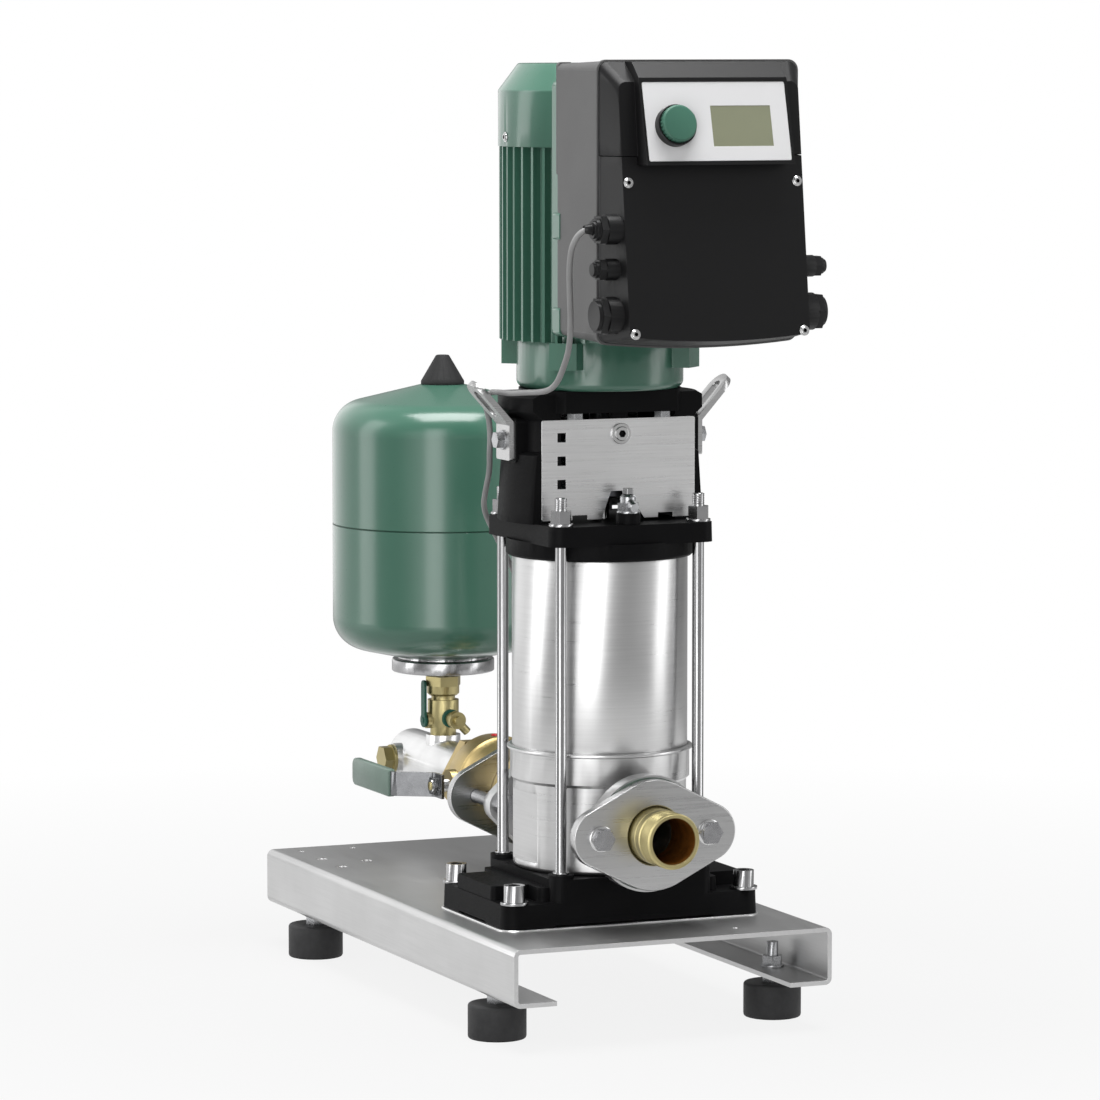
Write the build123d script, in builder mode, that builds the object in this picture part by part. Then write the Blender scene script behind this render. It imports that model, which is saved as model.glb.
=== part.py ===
from build123d import *

import os
from math import atan2, cos, degrees, hypot, pi, radians, sin, tan

os.makedirs("parts", exist_ok=True)

# A booster pump set: an upright multistage pump with its motor and frequency converter, valves and a
# diaphragm tank, on a bent base frame. Millimetres. X is across, Y follows the water from the suction
# port to the tank, Z is up. Heights are from the deck, the frame's top face, and places across and
# along are from the pump's axis; pump_y and deck_z carry both into the frame of the whole set.

# Base frame
frame_width = 294
frame_length = 595
frame_height = 49.5
frame_sheet = 4
frame_bend = 6
frame_lip = 39
frame_front = 158.5
spare_holes = [
    (70, -130, 3), (-70, 415, 3), (-122, 413, 3),
    (-121, 362, 5.3), (-120, 313, 5.3), (-86, 338, 5.3),
]

# Rubber feet
foot_radius = 25
foot_height = 30
foot_nut = 9
foot_inset = 80
foot_side_inset = 18
stud_radius = 5
stud_tail = 14

# Pump foot and its bolts
plinth_width = 239
plinth_depth = 151
plinth_height = 22
plinth_corner = 13
shoulder_height = 12
shoulder_depth = 84
pad_length = 44
arch_height = 3
seat_size = 150
seat_height = 41.5
rod_boss = 3.5
bolt_pitch_x = plinth_width - 24
bolt_pitch_y = plinth_depth - 21
bolt_radius = 6
bolt_head = 14
bolt_head_radius = 9
washer_thickness = 2.5

# Pump casing and sleeve
casing_radius = 75
casing_wall = 2.5
casing_height = 75.5
band_swell = 2.7
band_height = 26
bead_swell = 2.5
bead_height = 4
flat_depth = 5
flat_height = 60
sleeve_wall = 1.5
sleeve_length = 200
sleeve_gap = 0.3
port_height = 82
port_bore = 20
port_face = 106
port_flange = 14
port_oval_height = 50
port_oval_end = 15
gasket = 2

# Stages
stages = 5
stage_pitch = 36
stage_radius = 68
stage_wall = 2
stage_eye = 20
impeller_radius = 54
impeller_vanes = 6
shaft_radius = 8
bell_radius = 40

# Lantern between pump and motor
ring_radius = 81
ring_height = 14
ring_groove = 8
flange_size = 152
flange_corner = 12
flange_thickness = 17
window_height = 94
column_depth = 78
column_inner = 66
column_foot_radius = 88.5
column_waist_radius = 82.5
column_top_radius = 88
column_pocket = 4.5
seat_thickness = 19
seat_radius = 70
seat_flat = 47
rod_pitch = 128
rod_radius = 5
rod_nut = 11
rod_tail = 11

# Coupling and its guards
coupling_radius = 26
coupling_length = 60
coupling_lift = 19
guard_sheet = 1.2
guard_width = 143
guard_height = 86
guard_lift = 2.5
guard_window = 7.8
vent_reach = 60
vent_radius = 9

# Lifting eyes
eye_width = 29
eye_sheet = 5
eye_lean = 48
eye_length = 48
eye_slot = 12
eye_slot_length = 30

# Flanged connections
oval_width = 150
oval_height = 95
oval_end = 25
oval_thickness = 10
flange_bolt_pitch = 100
nipple_radius = 23.9
nipple_bore = 19.5
nipple_length = 48
check_valve_radius = 35
check_valve_length = 50
check_valve_bore = 25

# Ball valve, lever and outlet pipe
valve_length = 90
valve_radius = 43
valve_neck_radius = 30
valve_nut_flats = 69
valve_stem_place = 64
ball_radius = 20
ball_bore = 15
stem_radius = 6
stem_reach = 62
lever_height = 22
lever_thickness = 3
lever_reach = 90
lever_length = 118
grip_length = 91
pipe_radius = 24.15
pipe_wall = 2.6
pipe_length = 178
socket_radius = 16
socket_top = 110.5

# Tank and its valve
tank_reach = 361
tank_radius = 102
tank_wall = 2
tank_foot = 185
tank_seam = 307.6
tank_top = 436
tank_cap_radius = 20
tank_cap_height = 27
clamp_radius = 47.5
clamp_height = 12
tank_valve_radius = 14.5
tank_lever_length = 34

# Motor
shield_radius = 71.8
shield_height = 42
housing_height = 165
core_radius = 77
bore_radius = 70
fin_radius = 86.5
fin_count = 44
fin_thickness = 2.6
cover_radius = 87.5
cover_height = 47.5
cone_height = 23
cone_top_radius = 70.4
cover_wall = 1.5
motor_shaft_radius = 9.5
motor_pcd = 115
bearing_radius = 23.5
bearing_width = 14

# Converter
converter_width = 180
converter_height = 235
converter_lift = 48
converter_back = 111
converter_depth = 89
converter_wall = 3
cover_front_top = 20
cover_front_bottom = 46
cover_top_drop = 17
cover_bottom_rise = 7
cover_front_width = 162
cover_sag = 5
cover_split = 659
terminal_width = 150
panel_width = 128
panel_height = 66
panel_lean = 14.3
panel_reach = 237.2
panel_level = 687
panel_thickness = 1.5
module_rim = 2.5
window_width = 54
window_height_lcd = 34
window_shift = 22
row_drop = -4
knob_shift = 39
knob_radius = 15.3
knob_height = 11
knob_lift = 2
spindle_radius = 3
plunger_radius = 5

# Clearances
running_gap = 0.05
free_gap = 0.3

# Sensor cable, a list of places chosen by hand along its real route
cable_radius = 2.5
cable_route = [
    (-105, -222, 600),
    (-113, -222, 600),
    (-120, -217, 588),
    (-119, -209, 572),
    (-115, -200, 553),
    (-108, -186, 532),
    (-102, -172, 513),
    (-96, -154, 496),
    (-91, -132, 482),
    (-86, -108, 468),
    (-84, -86, 460),
    (-86, -66, 457),
    (-89, -47, 456),
    (-94, -28, 454),
    (-97.5, -8, 454),
    (-98, 12, 453),
    (-97, 26, 444),
    (-91, 30, 430),
    (-90, 29, 414),
    (-90, 31, 399),
    (-86, 40, 383),
    (-81, 62, 364),
    (-74, 85, 345),
    (-55, 98, 318),
    (-36, 109, 290),
    (-18, 119, 262),
    (-5, 128, 238),
    (0, 130, 226),
    (0, 130, 213),
]

# Heights and reaches that follow from the sizes above
deck_z = foot_height + foot_nut + frame_height
casing_top = seat_height + casing_height
ledge = casing_top + casing_wall
lantern_z = ledge + sleeve_length - ring_groove
flange_z = lantern_z + ring_height
floor_z = flange_z + flange_thickness
seat_z = floor_z + window_height
motor_z = seat_z + seat_thickness
housing_z = motor_z + shield_height
cover_z = housing_z + housing_height
cone_z = cover_z + cover_height
motor_top = cone_z + cone_height
converter_z = motor_z + converter_lift
converter_front = converter_back + converter_depth
knob_rise = knob_lift + knob_height
knob_low = knob_radius - row_drop
knob_reach = panel_reach + knob_rise * cos(radians(panel_lean)) + knob_low * sin(radians(panel_lean))
pump_y = (knob_reach - tank_reach - tank_radius) / 2
foot_x = frame_width / 2 - foot_side_inset
foot_front = foot_inset - frame_front
foot_back = frame_length - frame_front - foot_inset
band_radius = casing_radius + band_swell
sleeve_radius = band_radius - sleeve_wall - sleeve_gap
counter_face = port_face + gasket
check_end = counter_face + check_valve_length
valve_start = check_end + oval_thickness
valve_end = valve_start + valve_length
stem_y = valve_start + valve_stem_place
pipe_start = valve_end + 4
pipe_bore = pipe_radius - pipe_wall
rod_places = [(x * rod_pitch / 2, y * rod_pitch / 2) for x in (-1, 1) for y in (-1, 1)]
bolt_places = [(x * bolt_pitch_x / 2, y * bolt_pitch_y / 2) for x in (-1, 1) for y in (-1, 1)]
foot_places = [(x, y) for x in (-foot_x, foot_x) for y in (foot_front, foot_back)]
motor_bolt_side = motor_pcd / 2 * cos(radians(45))
motor_places = [(x * motor_bolt_side, y * motor_bolt_side) for x in (-1, 1) for y in (-1, 1)]
oval_places = [(-flange_bolt_pitch / 2, 0), (flange_bolt_pitch / 2, 0)]


def level(z, x=0, y=0):
    """A horizontal plane at a height above the deck, placed from the pump's axis."""
    return Plane((x, pump_y + y, deck_z + z))


def facing_front(y=0, x=0, z=0):
    """An upright plane that faces the suction side: its x runs to the right and its y up."""
    return Plane((x, pump_y + y, deck_z + z), x_dir=(1, 0, 0), z_dir=(0, -1, 0))


def facing_right(x=0, y=0, z=0):
    """An upright plane that faces right: its x runs to the back and its y up."""
    return Plane((x, pump_y + y, deck_z + z), x_dir=(0, 1, 0), z_dir=(1, 0, 0))


def leaning(y, z, lean):
    """A plane that faces the suction side and leans back by an angle."""
    return Plane(
        (0, pump_y + y, deck_z + z),
        x_dir=(1, 0, 0),
        z_dir=(0, -cos(radians(lean)), sin(radians(lean))),
    )


def turned(plane, *outline, rounds=(), mode=Mode.ADD):
    """Revolve an outline of (radius, height) points about the plane's upright axis."""
    with BuildSketch(plane) as profile:
        with BuildLine():
            Polyline(*outline, close=True)
        make_face()
        for corner, radius in rounds:
            fillet(profile.vertices().sort_by_distance(corner)[0], radius)
    revolve(profile.sketch, axis=Axis(plane.origin, plane.y_dir), mode=mode)


def discs(plane, places, *steps, mode=Mode.ADD):
    """Round steps of (radius, from, to) on an axis at each place."""
    for radius, start, stop in steps:
        with BuildSketch(plane.offset(start)) as profile:
            with Locations(*places):
                Circle(radius)
        extrude(profile.sketch, amount=stop - start, mode=mode)


def hexagons(plane, places, flats, start, stop, mode=Mode.ADD):
    """Hexagons, measured across their flats, at each place."""
    with BuildSketch(plane.offset(start)) as profile:
        with Locations(*places):
            RegularPolygon(flats / 2, 6, major_radius=False)
    extrude(profile.sketch, amount=stop - start, mode=mode)


def block(plane, width, height, start, stop, corner=0, draft=0, mode=Mode.ADD):
    """A rectangle with rounded corners, extruded along the plane's normal with a casting's draft."""
    with BuildSketch(plane.offset(start)) as profile:
        if corner:
            RectangleRounded(width, height, corner)
        else:
            Rectangle(width, height)
    extrude(profile.sketch, amount=stop - start, taper=draft, mode=mode)


def oval(middle, end, pitch):
    """The outline of an oval two-bolt flange: a middle round joined to two smaller end rounds."""
    Circle(middle)
    with Locations((-pitch / 2, 0), (pitch / 2, 0)):
        Circle(end)
    make_hull()


flow = level(port_height)

# Base frame: one sheet bent into a channel with inward lips
with BuildPart() as base_frame:
    with BuildSketch(facing_front(-frame_front, z=-frame_height / 2)):
        RectangleRounded(frame_width, frame_height, frame_bend)
        RectangleRounded(
            frame_width - 2 * frame_sheet,
            frame_height - 2 * frame_sheet,
            frame_bend - frame_sheet,
            mode=Mode.SUBTRACT,
        )
        with Locations((0, -frame_height / 2)):
            Rectangle(frame_width - 2 * frame_lip, 3 * frame_sheet, mode=Mode.SUBTRACT)
    extrude(amount=-frame_length)
    discs(level(-frame_height), foot_places, (stud_radius + free_gap, 0, frame_sheet), mode=Mode.SUBTRACT)
    discs(level(-frame_sheet), bolt_places, (bolt_radius + free_gap, 0, frame_sheet), mode=Mode.SUBTRACT)
    for x, y, radius in spare_holes:
        discs(level(-frame_sheet), [(x, y)], (radius, 0, frame_sheet), mode=Mode.SUBTRACT)
base_frame.part.label = "base_frame"
export_step(base_frame.part, "parts/base_frame.step")

# Rubber feet, each with its moulded-in top rim
with BuildPart() as rubber_feet:
    for x, y in foot_places:
        turned(
            facing_front(y, x=x, z=-deck_z),
            (0, 0), (foot_radius - 1, 0), (foot_radius, 1.5), (foot_radius, foot_height - 1.5),
            (foot_radius - 1.5, foot_height), (0, foot_height),
        )
    discs(level(-deck_z), foot_places, (stud_radius, foot_height / 2, foot_height), mode=Mode.SUBTRACT)
rubber_feet.part.label = "rubber_feet"
export_step(rubber_feet.part, "parts/rubber_feet.step")

# Foot studs: the lock nut below the lip, the nut and washer above it
stud_base = level(-deck_z)
lip_under = foot_height + foot_nut
lip_top = lip_under + frame_sheet
with BuildPart() as foot_studs:
    discs(stud_base, foot_places, (stud_radius, foot_height / 2, lip_top + stud_tail + 8))
    discs(stud_base, foot_places, (10, lip_under - 2, lip_under), (10, lip_top, lip_top + 2))
    hexagons(stud_base, foot_places, 16, foot_height, lip_under - 2)
    hexagons(stud_base, foot_places, 16, lip_top + 2, lip_top + 10)
foot_studs.part.label = "foot_studs"
export_step(foot_studs.part, "parts/foot_studs.step")

# Pump foot: an iron plinth with shoulders between the bolt pockets and a square seat for the casing
with BuildPart() as pump_foot:
    block(level(0), plinth_width, plinth_depth, 0, plinth_height, plinth_corner, draft=2)
    block(level(0), plinth_width, shoulder_depth, 0, plinth_height + shoulder_height, 6, draft=4)
    block(level(0), seat_size + 22, plinth_depth - 20, 0, plinth_height + shoulder_height, 8, draft=4)
    block(level(0), seat_size, seat_size, 0, seat_height, seat_size / 2 - rod_pitch / 2)
    discs(level(0), rod_places, (seat_size / 2 - rod_pitch / 2, seat_height, seat_height + rod_boss))
    discs(level(0), rod_places, (rod_radius, plinth_height, seat_height + rod_boss), mode=Mode.SUBTRACT)
    discs(level(0), bolt_places, (bolt_radius + free_gap, 0, plinth_height), mode=Mode.SUBTRACT)
    block(level(0), plinth_width - 2 * pad_length, plinth_depth, 0, arch_height, 2, mode=Mode.SUBTRACT)
    block(level(0), plinth_width, plinth_depth - 2 * pad_length, 0, arch_height, 2, mode=Mode.SUBTRACT)
pump_foot.part.label = "pump_foot"
export_step(pump_foot.part, "parts/pump_foot.step")

# Foot bolts: socket head screws with washers, nuts under the deck
with BuildPart() as foot_bolts:
    discs(
        level(plinth_height), bolt_places,
        (12, 0, washer_thickness),
        (bolt_head_radius, washer_thickness, washer_thickness + bolt_head),
        (bolt_radius, -plinth_height - frame_sheet - 14, 0),
    )
    hexagons(
        level(plinth_height), bolt_places, 10, washer_thickness + bolt_head - 6,
        washer_thickness + bolt_head, mode=Mode.SUBTRACT,
    )
    hexagons(level(-frame_sheet), bolt_places, 18, -10, 0)
foot_bolts.part.label = "foot_bolts"
export_step(foot_bolts.part, "parts/foot_bolts.step")

# Pump casing: a drawn steel cup with a swelled band and bead, two flanged ports and an inlet bell
inner_radius = casing_radius - casing_wall
with BuildPart() as pump_casing:
    turned(
        facing_front(),
        (0, seat_height), (casing_radius, seat_height), (casing_radius, casing_top),
        (band_radius, casing_top + band_swell), (band_radius, casing_top + band_height),
        (band_radius + bead_swell, casing_top + band_height + 1),
        (band_radius + bead_swell, casing_top + band_height + bead_height - 1),
        (band_radius, casing_top + band_height + bead_height), (0, casing_top + band_height + bead_height),
        rounds=[((casing_radius, seat_height), 4)],
    )
    with BuildSketch(facing_right(-casing_radius, z=seat_height + casing_height / 2)):
        RectangleRounded(2 * casing_radius, flat_height, 2)
    extrude(amount=flat_depth, mode=Mode.SUBTRACT)
    for side in (-1, 1):
        neck = facing_front(side * port_face, z=port_height)
        inward = side * (port_face - inner_radius)
        with BuildSketch(neck):
            Circle(port_bore + 6)
        extrude(amount=inward)
        with BuildSketch(neck):
            oval(port_oval_height, port_oval_end, flange_bolt_pitch)
        extrude(amount=side * port_flange)
    turned(
        facing_front(),
        (0, seat_height + casing_wall), (inner_radius - flat_depth, seat_height + casing_wall),
        (inner_radius - flat_depth, casing_top - casing_wall), (inner_radius, casing_top - casing_wall),
        (inner_radius, ledge), (band_radius - sleeve_wall, ledge),
        (band_radius - sleeve_wall, casing_top + band_height + bead_height),
        (0, casing_top + band_height + bead_height),
        mode=Mode.SUBTRACT,
    )
    turned(
        facing_front(),
        (bell_radius - 2, seat_height + casing_wall), (bell_radius, seat_height + casing_wall),
        (bell_radius, casing_top - casing_wall), (bell_radius - 2, casing_top - casing_wall),
    )
    with BuildSketch(facing_front(-port_face + 1, z=port_height)):
        Circle(port_bore + 3)
    extrude(amount=-(port_face - bell_radius + 3))
    with BuildSketch(facing_front(-port_face, z=port_height)):
        Circle(port_bore)
    extrude(amount=-port_face, mode=Mode.SUBTRACT)
    with BuildSketch(facing_front(port_face, z=port_height)):
        Circle(port_bore)
    extrude(amount=port_face - bell_radius - 1, mode=Mode.SUBTRACT)
    for side in (-1, 1):
        with BuildSketch(facing_front(side * port_face, z=port_height)):
            with Locations(*oval_places):
                Circle(bolt_radius)
        extrude(amount=side * port_flange, mode=Mode.SUBTRACT)
pump_casing.part.label = "pump_casing"
export_step(pump_casing.part, "parts/pump_casing.step")

# Flange gaskets, one behind each port flange
with BuildPart() as flange_gaskets:
    for side in (-1, 1):
        with BuildSketch(facing_front(side * port_face, z=port_height)):
            oval(port_oval_height - 2, port_oval_end - 1, flange_bolt_pitch)
            Circle(port_bore, mode=Mode.SUBTRACT)
            with Locations(*oval_places):
                Circle(bolt_radius, mode=Mode.SUBTRACT)
        extrude(amount=-side * gasket)
flange_gaskets.part.label = "flange_gaskets"
export_step(flange_gaskets.part, "parts/flange_gaskets.step")

# Outer sleeve, seated in the casing's band and in the lantern's groove
with BuildPart() as outer_sleeve:
    turned(
        facing_front(),
        (sleeve_radius - sleeve_wall, ledge), (sleeve_radius, ledge),
        (sleeve_radius, ledge + sleeve_length), (sleeve_radius - sleeve_wall, ledge + sleeve_length),
    )
outer_sleeve.part.label = "outer_sleeve"
export_step(outer_sleeve.part, "parts/outer_sleeve.step")

# Tie rods, each with its nut and washer on the lantern's flange
rod_top = floor_z + washer_thickness + rod_nut + rod_tail
with BuildPart() as tie_rods:
    discs(
        level(0), rod_places,
        (rod_radius, plinth_height, rod_top),
        (rod_radius + 2, seat_height + rod_boss, seat_height + rod_boss + 2),
        (10.5, floor_z, floor_z + washer_thickness),
    )
    hexagons(level(0), rod_places, 16.5, floor_z + washer_thickness, floor_z + washer_thickness + rod_nut)
    chamfer(tie_rods.faces().sort_by(Axis.Z)[-4:].edges(), 0.8)
tie_rods.part.label = "tie_rods"
export_step(tie_rods.part, "parts/tie_rods.step")

# Stage casings: a bottom plate on the bell, then cups with a diffuser disc held by vanes
stage_floor = casing_top - casing_wall
first_stage = stage_floor + 4
with BuildPart() as stage_casings:
    turned(
        facing_front(),
        (stage_eye, stage_floor), (stage_radius, stage_floor), (stage_radius, first_stage),
        (stage_eye, first_stage),
    )
    for stage in range(stages):
        foot = first_stage + stage * stage_pitch
        roof = foot + stage_pitch
        turned(
            facing_front(),
            (stage_radius - stage_wall, foot), (stage_radius, foot), (stage_radius, roof),
            (stage_eye, roof), (stage_eye, roof - stage_wall),
            (stage_radius - stage_wall, roof - stage_wall),
        )
        turned(
            facing_front(),
            (shaft_radius + 2, roof - 18), (stage_radius - 8, roof - 18), (stage_radius - 8, roof - 16),
            (shaft_radius + 2, roof - 16),
        )
        with BuildSketch(level(roof - 16)):
            with PolarLocations(stage_radius - 22, 6):
                Rectangle(28, 2)
        extrude(amount=16 - stage_wall)
stage_casings.part.label = "stage_casings"
export_step(stage_casings.part, "parts/stage_casings.step")

# Impellers: two shrouds with swept vanes between them and an eye ring that runs in the stage's eye
with BuildPart() as impellers:
    for stage in range(stages):
        foot = first_stage + stage * stage_pitch + 3
        turned(
            facing_front(),
            (stage_eye - 3, foot - 4), (stage_eye - 1, foot - 4), (stage_eye - 1, foot),
            (impeller_radius, foot), (impeller_radius, foot + 1.5), (stage_eye - 3, foot + 1.5),
        )
        turned(
            facing_front(),
            (shaft_radius, foot + 3), (shaft_radius + 5, foot + 3), (shaft_radius + 9, foot + 8.5),
            (impeller_radius, foot + 8.5), (impeller_radius, foot + 10), (shaft_radius, foot + 10),
        )
        with BuildSketch(level(foot + 1.5)):
            with PolarLocations(impeller_radius * 0.66, impeller_vanes, angular_range=360):
                Rectangle(impeller_radius * 0.6, 1.6, rotation=35)
        extrude(amount=7)
impellers.part.label = "impellers"
export_step(impellers.part, "parts/impellers.step")

# Pump shaft
coupling_z = floor_z + coupling_lift
shaft_top = coupling_z + coupling_length * 0.44
with BuildPart() as pump_shaft:
    turned(
        facing_front(),
        (0, stage_floor - 20), (shaft_radius - 1, stage_floor - 20), (shaft_radius, stage_floor - 19),
        (shaft_radius, shaft_top), (0, shaft_top),
    )
pump_shaft.part.label = "pump_shaft"
export_step(pump_shaft.part, "parts/pump_shaft.step")

# Shaft seal, the turning ring under the lantern's floor
with BuildPart() as shaft_seal:
    turned(
        facing_front(),
        (shaft_radius, lantern_z + 4), (18, lantern_z + 4), (18, flange_z - 4), (14, flange_z - 2),
        (14, flange_z + 3), (shaft_radius, flange_z + 3),
    )
shaft_seal.part.label = "shaft_seal"
export_step(shaft_seal.part, "parts/shaft_seal.step")

# Shaft coupling, a split sleeve clamped by four screws
with BuildPart() as shaft_coupling:
    turned(
        facing_front(),
        (0, coupling_z), (coupling_radius, coupling_z), (coupling_radius, coupling_z + coupling_length),
        (0, coupling_z + coupling_length),
        rounds=[((coupling_radius, coupling_z), 2), ((coupling_radius, coupling_z + coupling_length), 2)],
    )
    discs(level(0), [(0, 0)], (shaft_radius, coupling_z, shaft_top), mode=Mode.SUBTRACT)
    discs(
        level(0), [(0, 0)], (motor_shaft_radius, shaft_top, coupling_z + coupling_length),
        mode=Mode.SUBTRACT,
    )
    block(level(coupling_z), 2 * coupling_radius, 2, 0, coupling_length, mode=Mode.SUBTRACT)
    for side in (-1, 1):
        for height in (0.25, 0.75):
            for across_x in (-1, 1):
                screw = facing_front(-side * 12, x=across_x * 17, z=coupling_z + coupling_length * height)
                with BuildSketch(screw):
                    Circle(4.5)
                extrude(amount=side * 14, mode=Mode.SUBTRACT)
    for height in (0.25, 0.75):
        for across_x in (-1, 1):
            with BuildSketch(facing_front(-17, x=across_x * 17, z=coupling_z + coupling_length * height)):
                Circle(4)
            extrude(amount=-34)
shaft_coupling.part.label = "shaft_coupling"
export_step(shaft_coupling.part, "parts/shaft_coupling.step")

# Lantern: the casting between pump and motor, two tapered columns with open windows front and back
waist_z = floor_z + window_height * 0.62
guard_face = column_depth / 2
pad_x = column_waist_radius + 3
eye_level = floor_z + window_height * 0.745
with BuildPart() as lantern:
    turned(
        facing_front(),
        (0, lantern_z), (ring_radius - 2, lantern_z), (ring_radius, lantern_z + 2),
        (ring_radius, flange_z + 1),
        (0, flange_z + 1),
    )
    block(level(flange_z), flange_size, flange_size, 0, flange_thickness, flange_corner, draft=1.5)
    turned(
        facing_front(),
        (column_inner, floor_z), (column_foot_radius, floor_z), (column_foot_radius - 3.5, waist_z),
        (column_waist_radius - column_pocket, waist_z + 3),
        (column_waist_radius - column_pocket, seat_z - 7),
        (column_top_radius, seat_z + 2), (column_top_radius, motor_z - 6),
        (column_top_radius - 5, motor_z - 3), (column_inner, motor_z - 3),
    )
    for side in (-1, 1):
        with BuildSketch(facing_front(side * guard_face, z=floor_z)):
            with Locations((0, window_height)):
                Rectangle(4 * ring_radius, 2 * window_height)
        extrude(amount=-side * ring_radius, mode=Mode.SUBTRACT)
        block(facing_right(0, z=eye_level), 2 * 17, 38, side * (column_inner + 8), side * pad_x, 4)
    with BuildSketch(level(seat_z)):
        Circle(seat_radius)
        Rectangle(2 * seat_radius, 2 * seat_flat, mode=Mode.INTERSECT)
    extrude(amount=seat_thickness)
    for side in (-1, 1):
        lug = facing_front(side * guard_face, x=-side * 2, z=seat_z - 14)
        with BuildSketch(lug):
            Rectangle(14, 30)
        extrude(amount=side * 9)
    discs(level(0), [(0, 0)], (coupling_radius + 14, seat_z, motor_z), mode=Mode.SUBTRACT)
    discs(level(0), [(0, 0)], (shaft_radius + 1.5, lantern_z, floor_z), mode=Mode.SUBTRACT)
    discs(level(0), [(0, 0)], (20, lantern_z, flange_z + 3.5), mode=Mode.SUBTRACT)
    turned(
        facing_front(),
        (sleeve_radius - sleeve_wall - sleeve_gap, lantern_z), (sleeve_radius + sleeve_gap, lantern_z),
        (sleeve_radius + sleeve_gap, lantern_z + ring_groove),
        (sleeve_radius - sleeve_wall - sleeve_gap, lantern_z + ring_groove),
        mode=Mode.SUBTRACT,
    )
    discs(level(0), rod_places, (rod_radius + free_gap, lantern_z, floor_z), mode=Mode.SUBTRACT)
    discs(level(0), motor_places, (4.3, seat_z, motor_z), mode=Mode.SUBTRACT)
    discs(level(0), [(0, -vent_reach)], (vent_radius + 1.5, floor_z, floor_z + 9))
    for side in (-1, 1):
        discs(facing_right(side * pad_x, z=eye_level), [(0, 0)], (4, 0, -side * 12), mode=Mode.SUBTRACT)
lantern.part.label = "lantern"
export_step(lantern.part, "parts/lantern.step")

# Coupling guards: bent sheets that close the lantern's windows, cut out round the vent valve
guard_z = floor_z + guard_lift + guard_height / 2
with BuildPart() as coupling_guards:
    for side in (-1, 1):
        face = Plane(
            (0, pump_y + side * guard_face, deck_z + guard_z), x_dir=(-side, 0, 0), z_dir=(0, side, 0)
        )
        with BuildSketch(face):
            RectangleRounded(guard_width, guard_height, 2)
            with Locations(*[(-53, guard_height / 2 - drop) for drop in (15, 35, 55)]):
                Rectangle(guard_window, guard_window, mode=Mode.SUBTRACT)
            with BuildLine():
                Polyline((-16, -guard_height / 2), (-7, -19), (7, -19), (24, -guard_height / 2), close=True)
            make_face(mode=Mode.SUBTRACT)
            with Locations((-36, -guard_height / 2), (44, -guard_height / 2)):
                Rectangle(14, 8, mode=Mode.SUBTRACT)
            with Locations((2, guard_height / 2 - 13)):
                Circle(3.2, mode=Mode.SUBTRACT)
        extrude(amount=guard_sheet)
coupling_guards.part.label = "coupling_guards"
export_step(coupling_guards.part, "parts/coupling_guards.step")

# Vent valve: a nickelled body screwed into the boss on the lantern's floor, with a spout
vent_z = floor_z + 9
with BuildPart() as vent_valve:
    turned(
        facing_front(-vent_reach),
        (0, vent_z), (vent_radius + 1, vent_z), (vent_radius + 1, vent_z + 2), (vent_radius - 2, vent_z + 2),
        (vent_radius - 2, vent_z + 14), (vent_radius - 4, vent_z + 16), (0, vent_z + 16),
    )
    hexagons(level(0), [(0, -vent_reach)], 17, vent_z + 2, vent_z + 9)
    with BuildSketch(
        Plane((0, pump_y - vent_reach - 4, deck_z + vent_z + 9), x_dir=(1, 0, 0), z_dir=(0, -0.94, -0.34))
    ):
        Circle(4)
    extrude(amount=11)
    discs(level(0), [(0, -vent_reach)], (3 + running_gap, vent_z + 6, vent_z + 16), mode=Mode.SUBTRACT)
vent_valve.part.label = "vent_valve"
export_step(vent_valve.part, "parts/vent_valve.step")

# Vent screw, turned by hand or spanner
with BuildPart() as vent_screw:
    discs(level(0), [(0, -vent_reach)], (3, vent_z + 6.3, vent_z + 17))
    hexagons(level(0), [(0, -vent_reach)], 9, vent_z + 16.3, vent_z + 21.5)
vent_screw.part.label = "vent_screw"
export_step(vent_screw.part, "parts/vent_screw.step")

# Lifting eyes: steel straps bolted to the columns, leaning outward with a slot for the hook
with BuildPart() as lifting_eyes:
    for side in (-1, 1):
        block(facing_right(0, z=eye_level), eye_width, 34, side * pad_x, side * (pad_x + eye_sheet), 2)
        discs(facing_right(0, z=eye_level), [(0, 0)], (4, side * pad_x, side * (pad_x + eye_sheet)),
              mode=Mode.SUBTRACT)
        bend = Plane(
            (side * (pad_x + eye_sheet / 2), pump_y, deck_z + eye_level + 14),
            x_dir=(0, 1, 0),
            z_dir=(side * sin(radians(eye_lean)), 0, -cos(radians(eye_lean))),
        )
        rise = Plane(bend.origin, x_dir=(0, side, 0), z_dir=bend.z_dir)
        with BuildSketch(rise.offset(-eye_sheet / 2)):
            with Locations((0, eye_length / 2 - eye_width / 4)):
                Rectangle(eye_width, eye_length - eye_width / 2)
            with Locations((0, eye_length - eye_width / 2)):
                Circle(eye_width / 2)
            with Locations((0, eye_length - eye_slot_length / 2 - 8)):
                SlotOverall(eye_slot_length, eye_slot, rotation=90, mode=Mode.SUBTRACT)
        extrude(amount=eye_sheet)
lifting_eyes.part.label = "lifting_eyes"
export_step(lifting_eyes.part, "parts/lifting_eyes.step")

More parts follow.
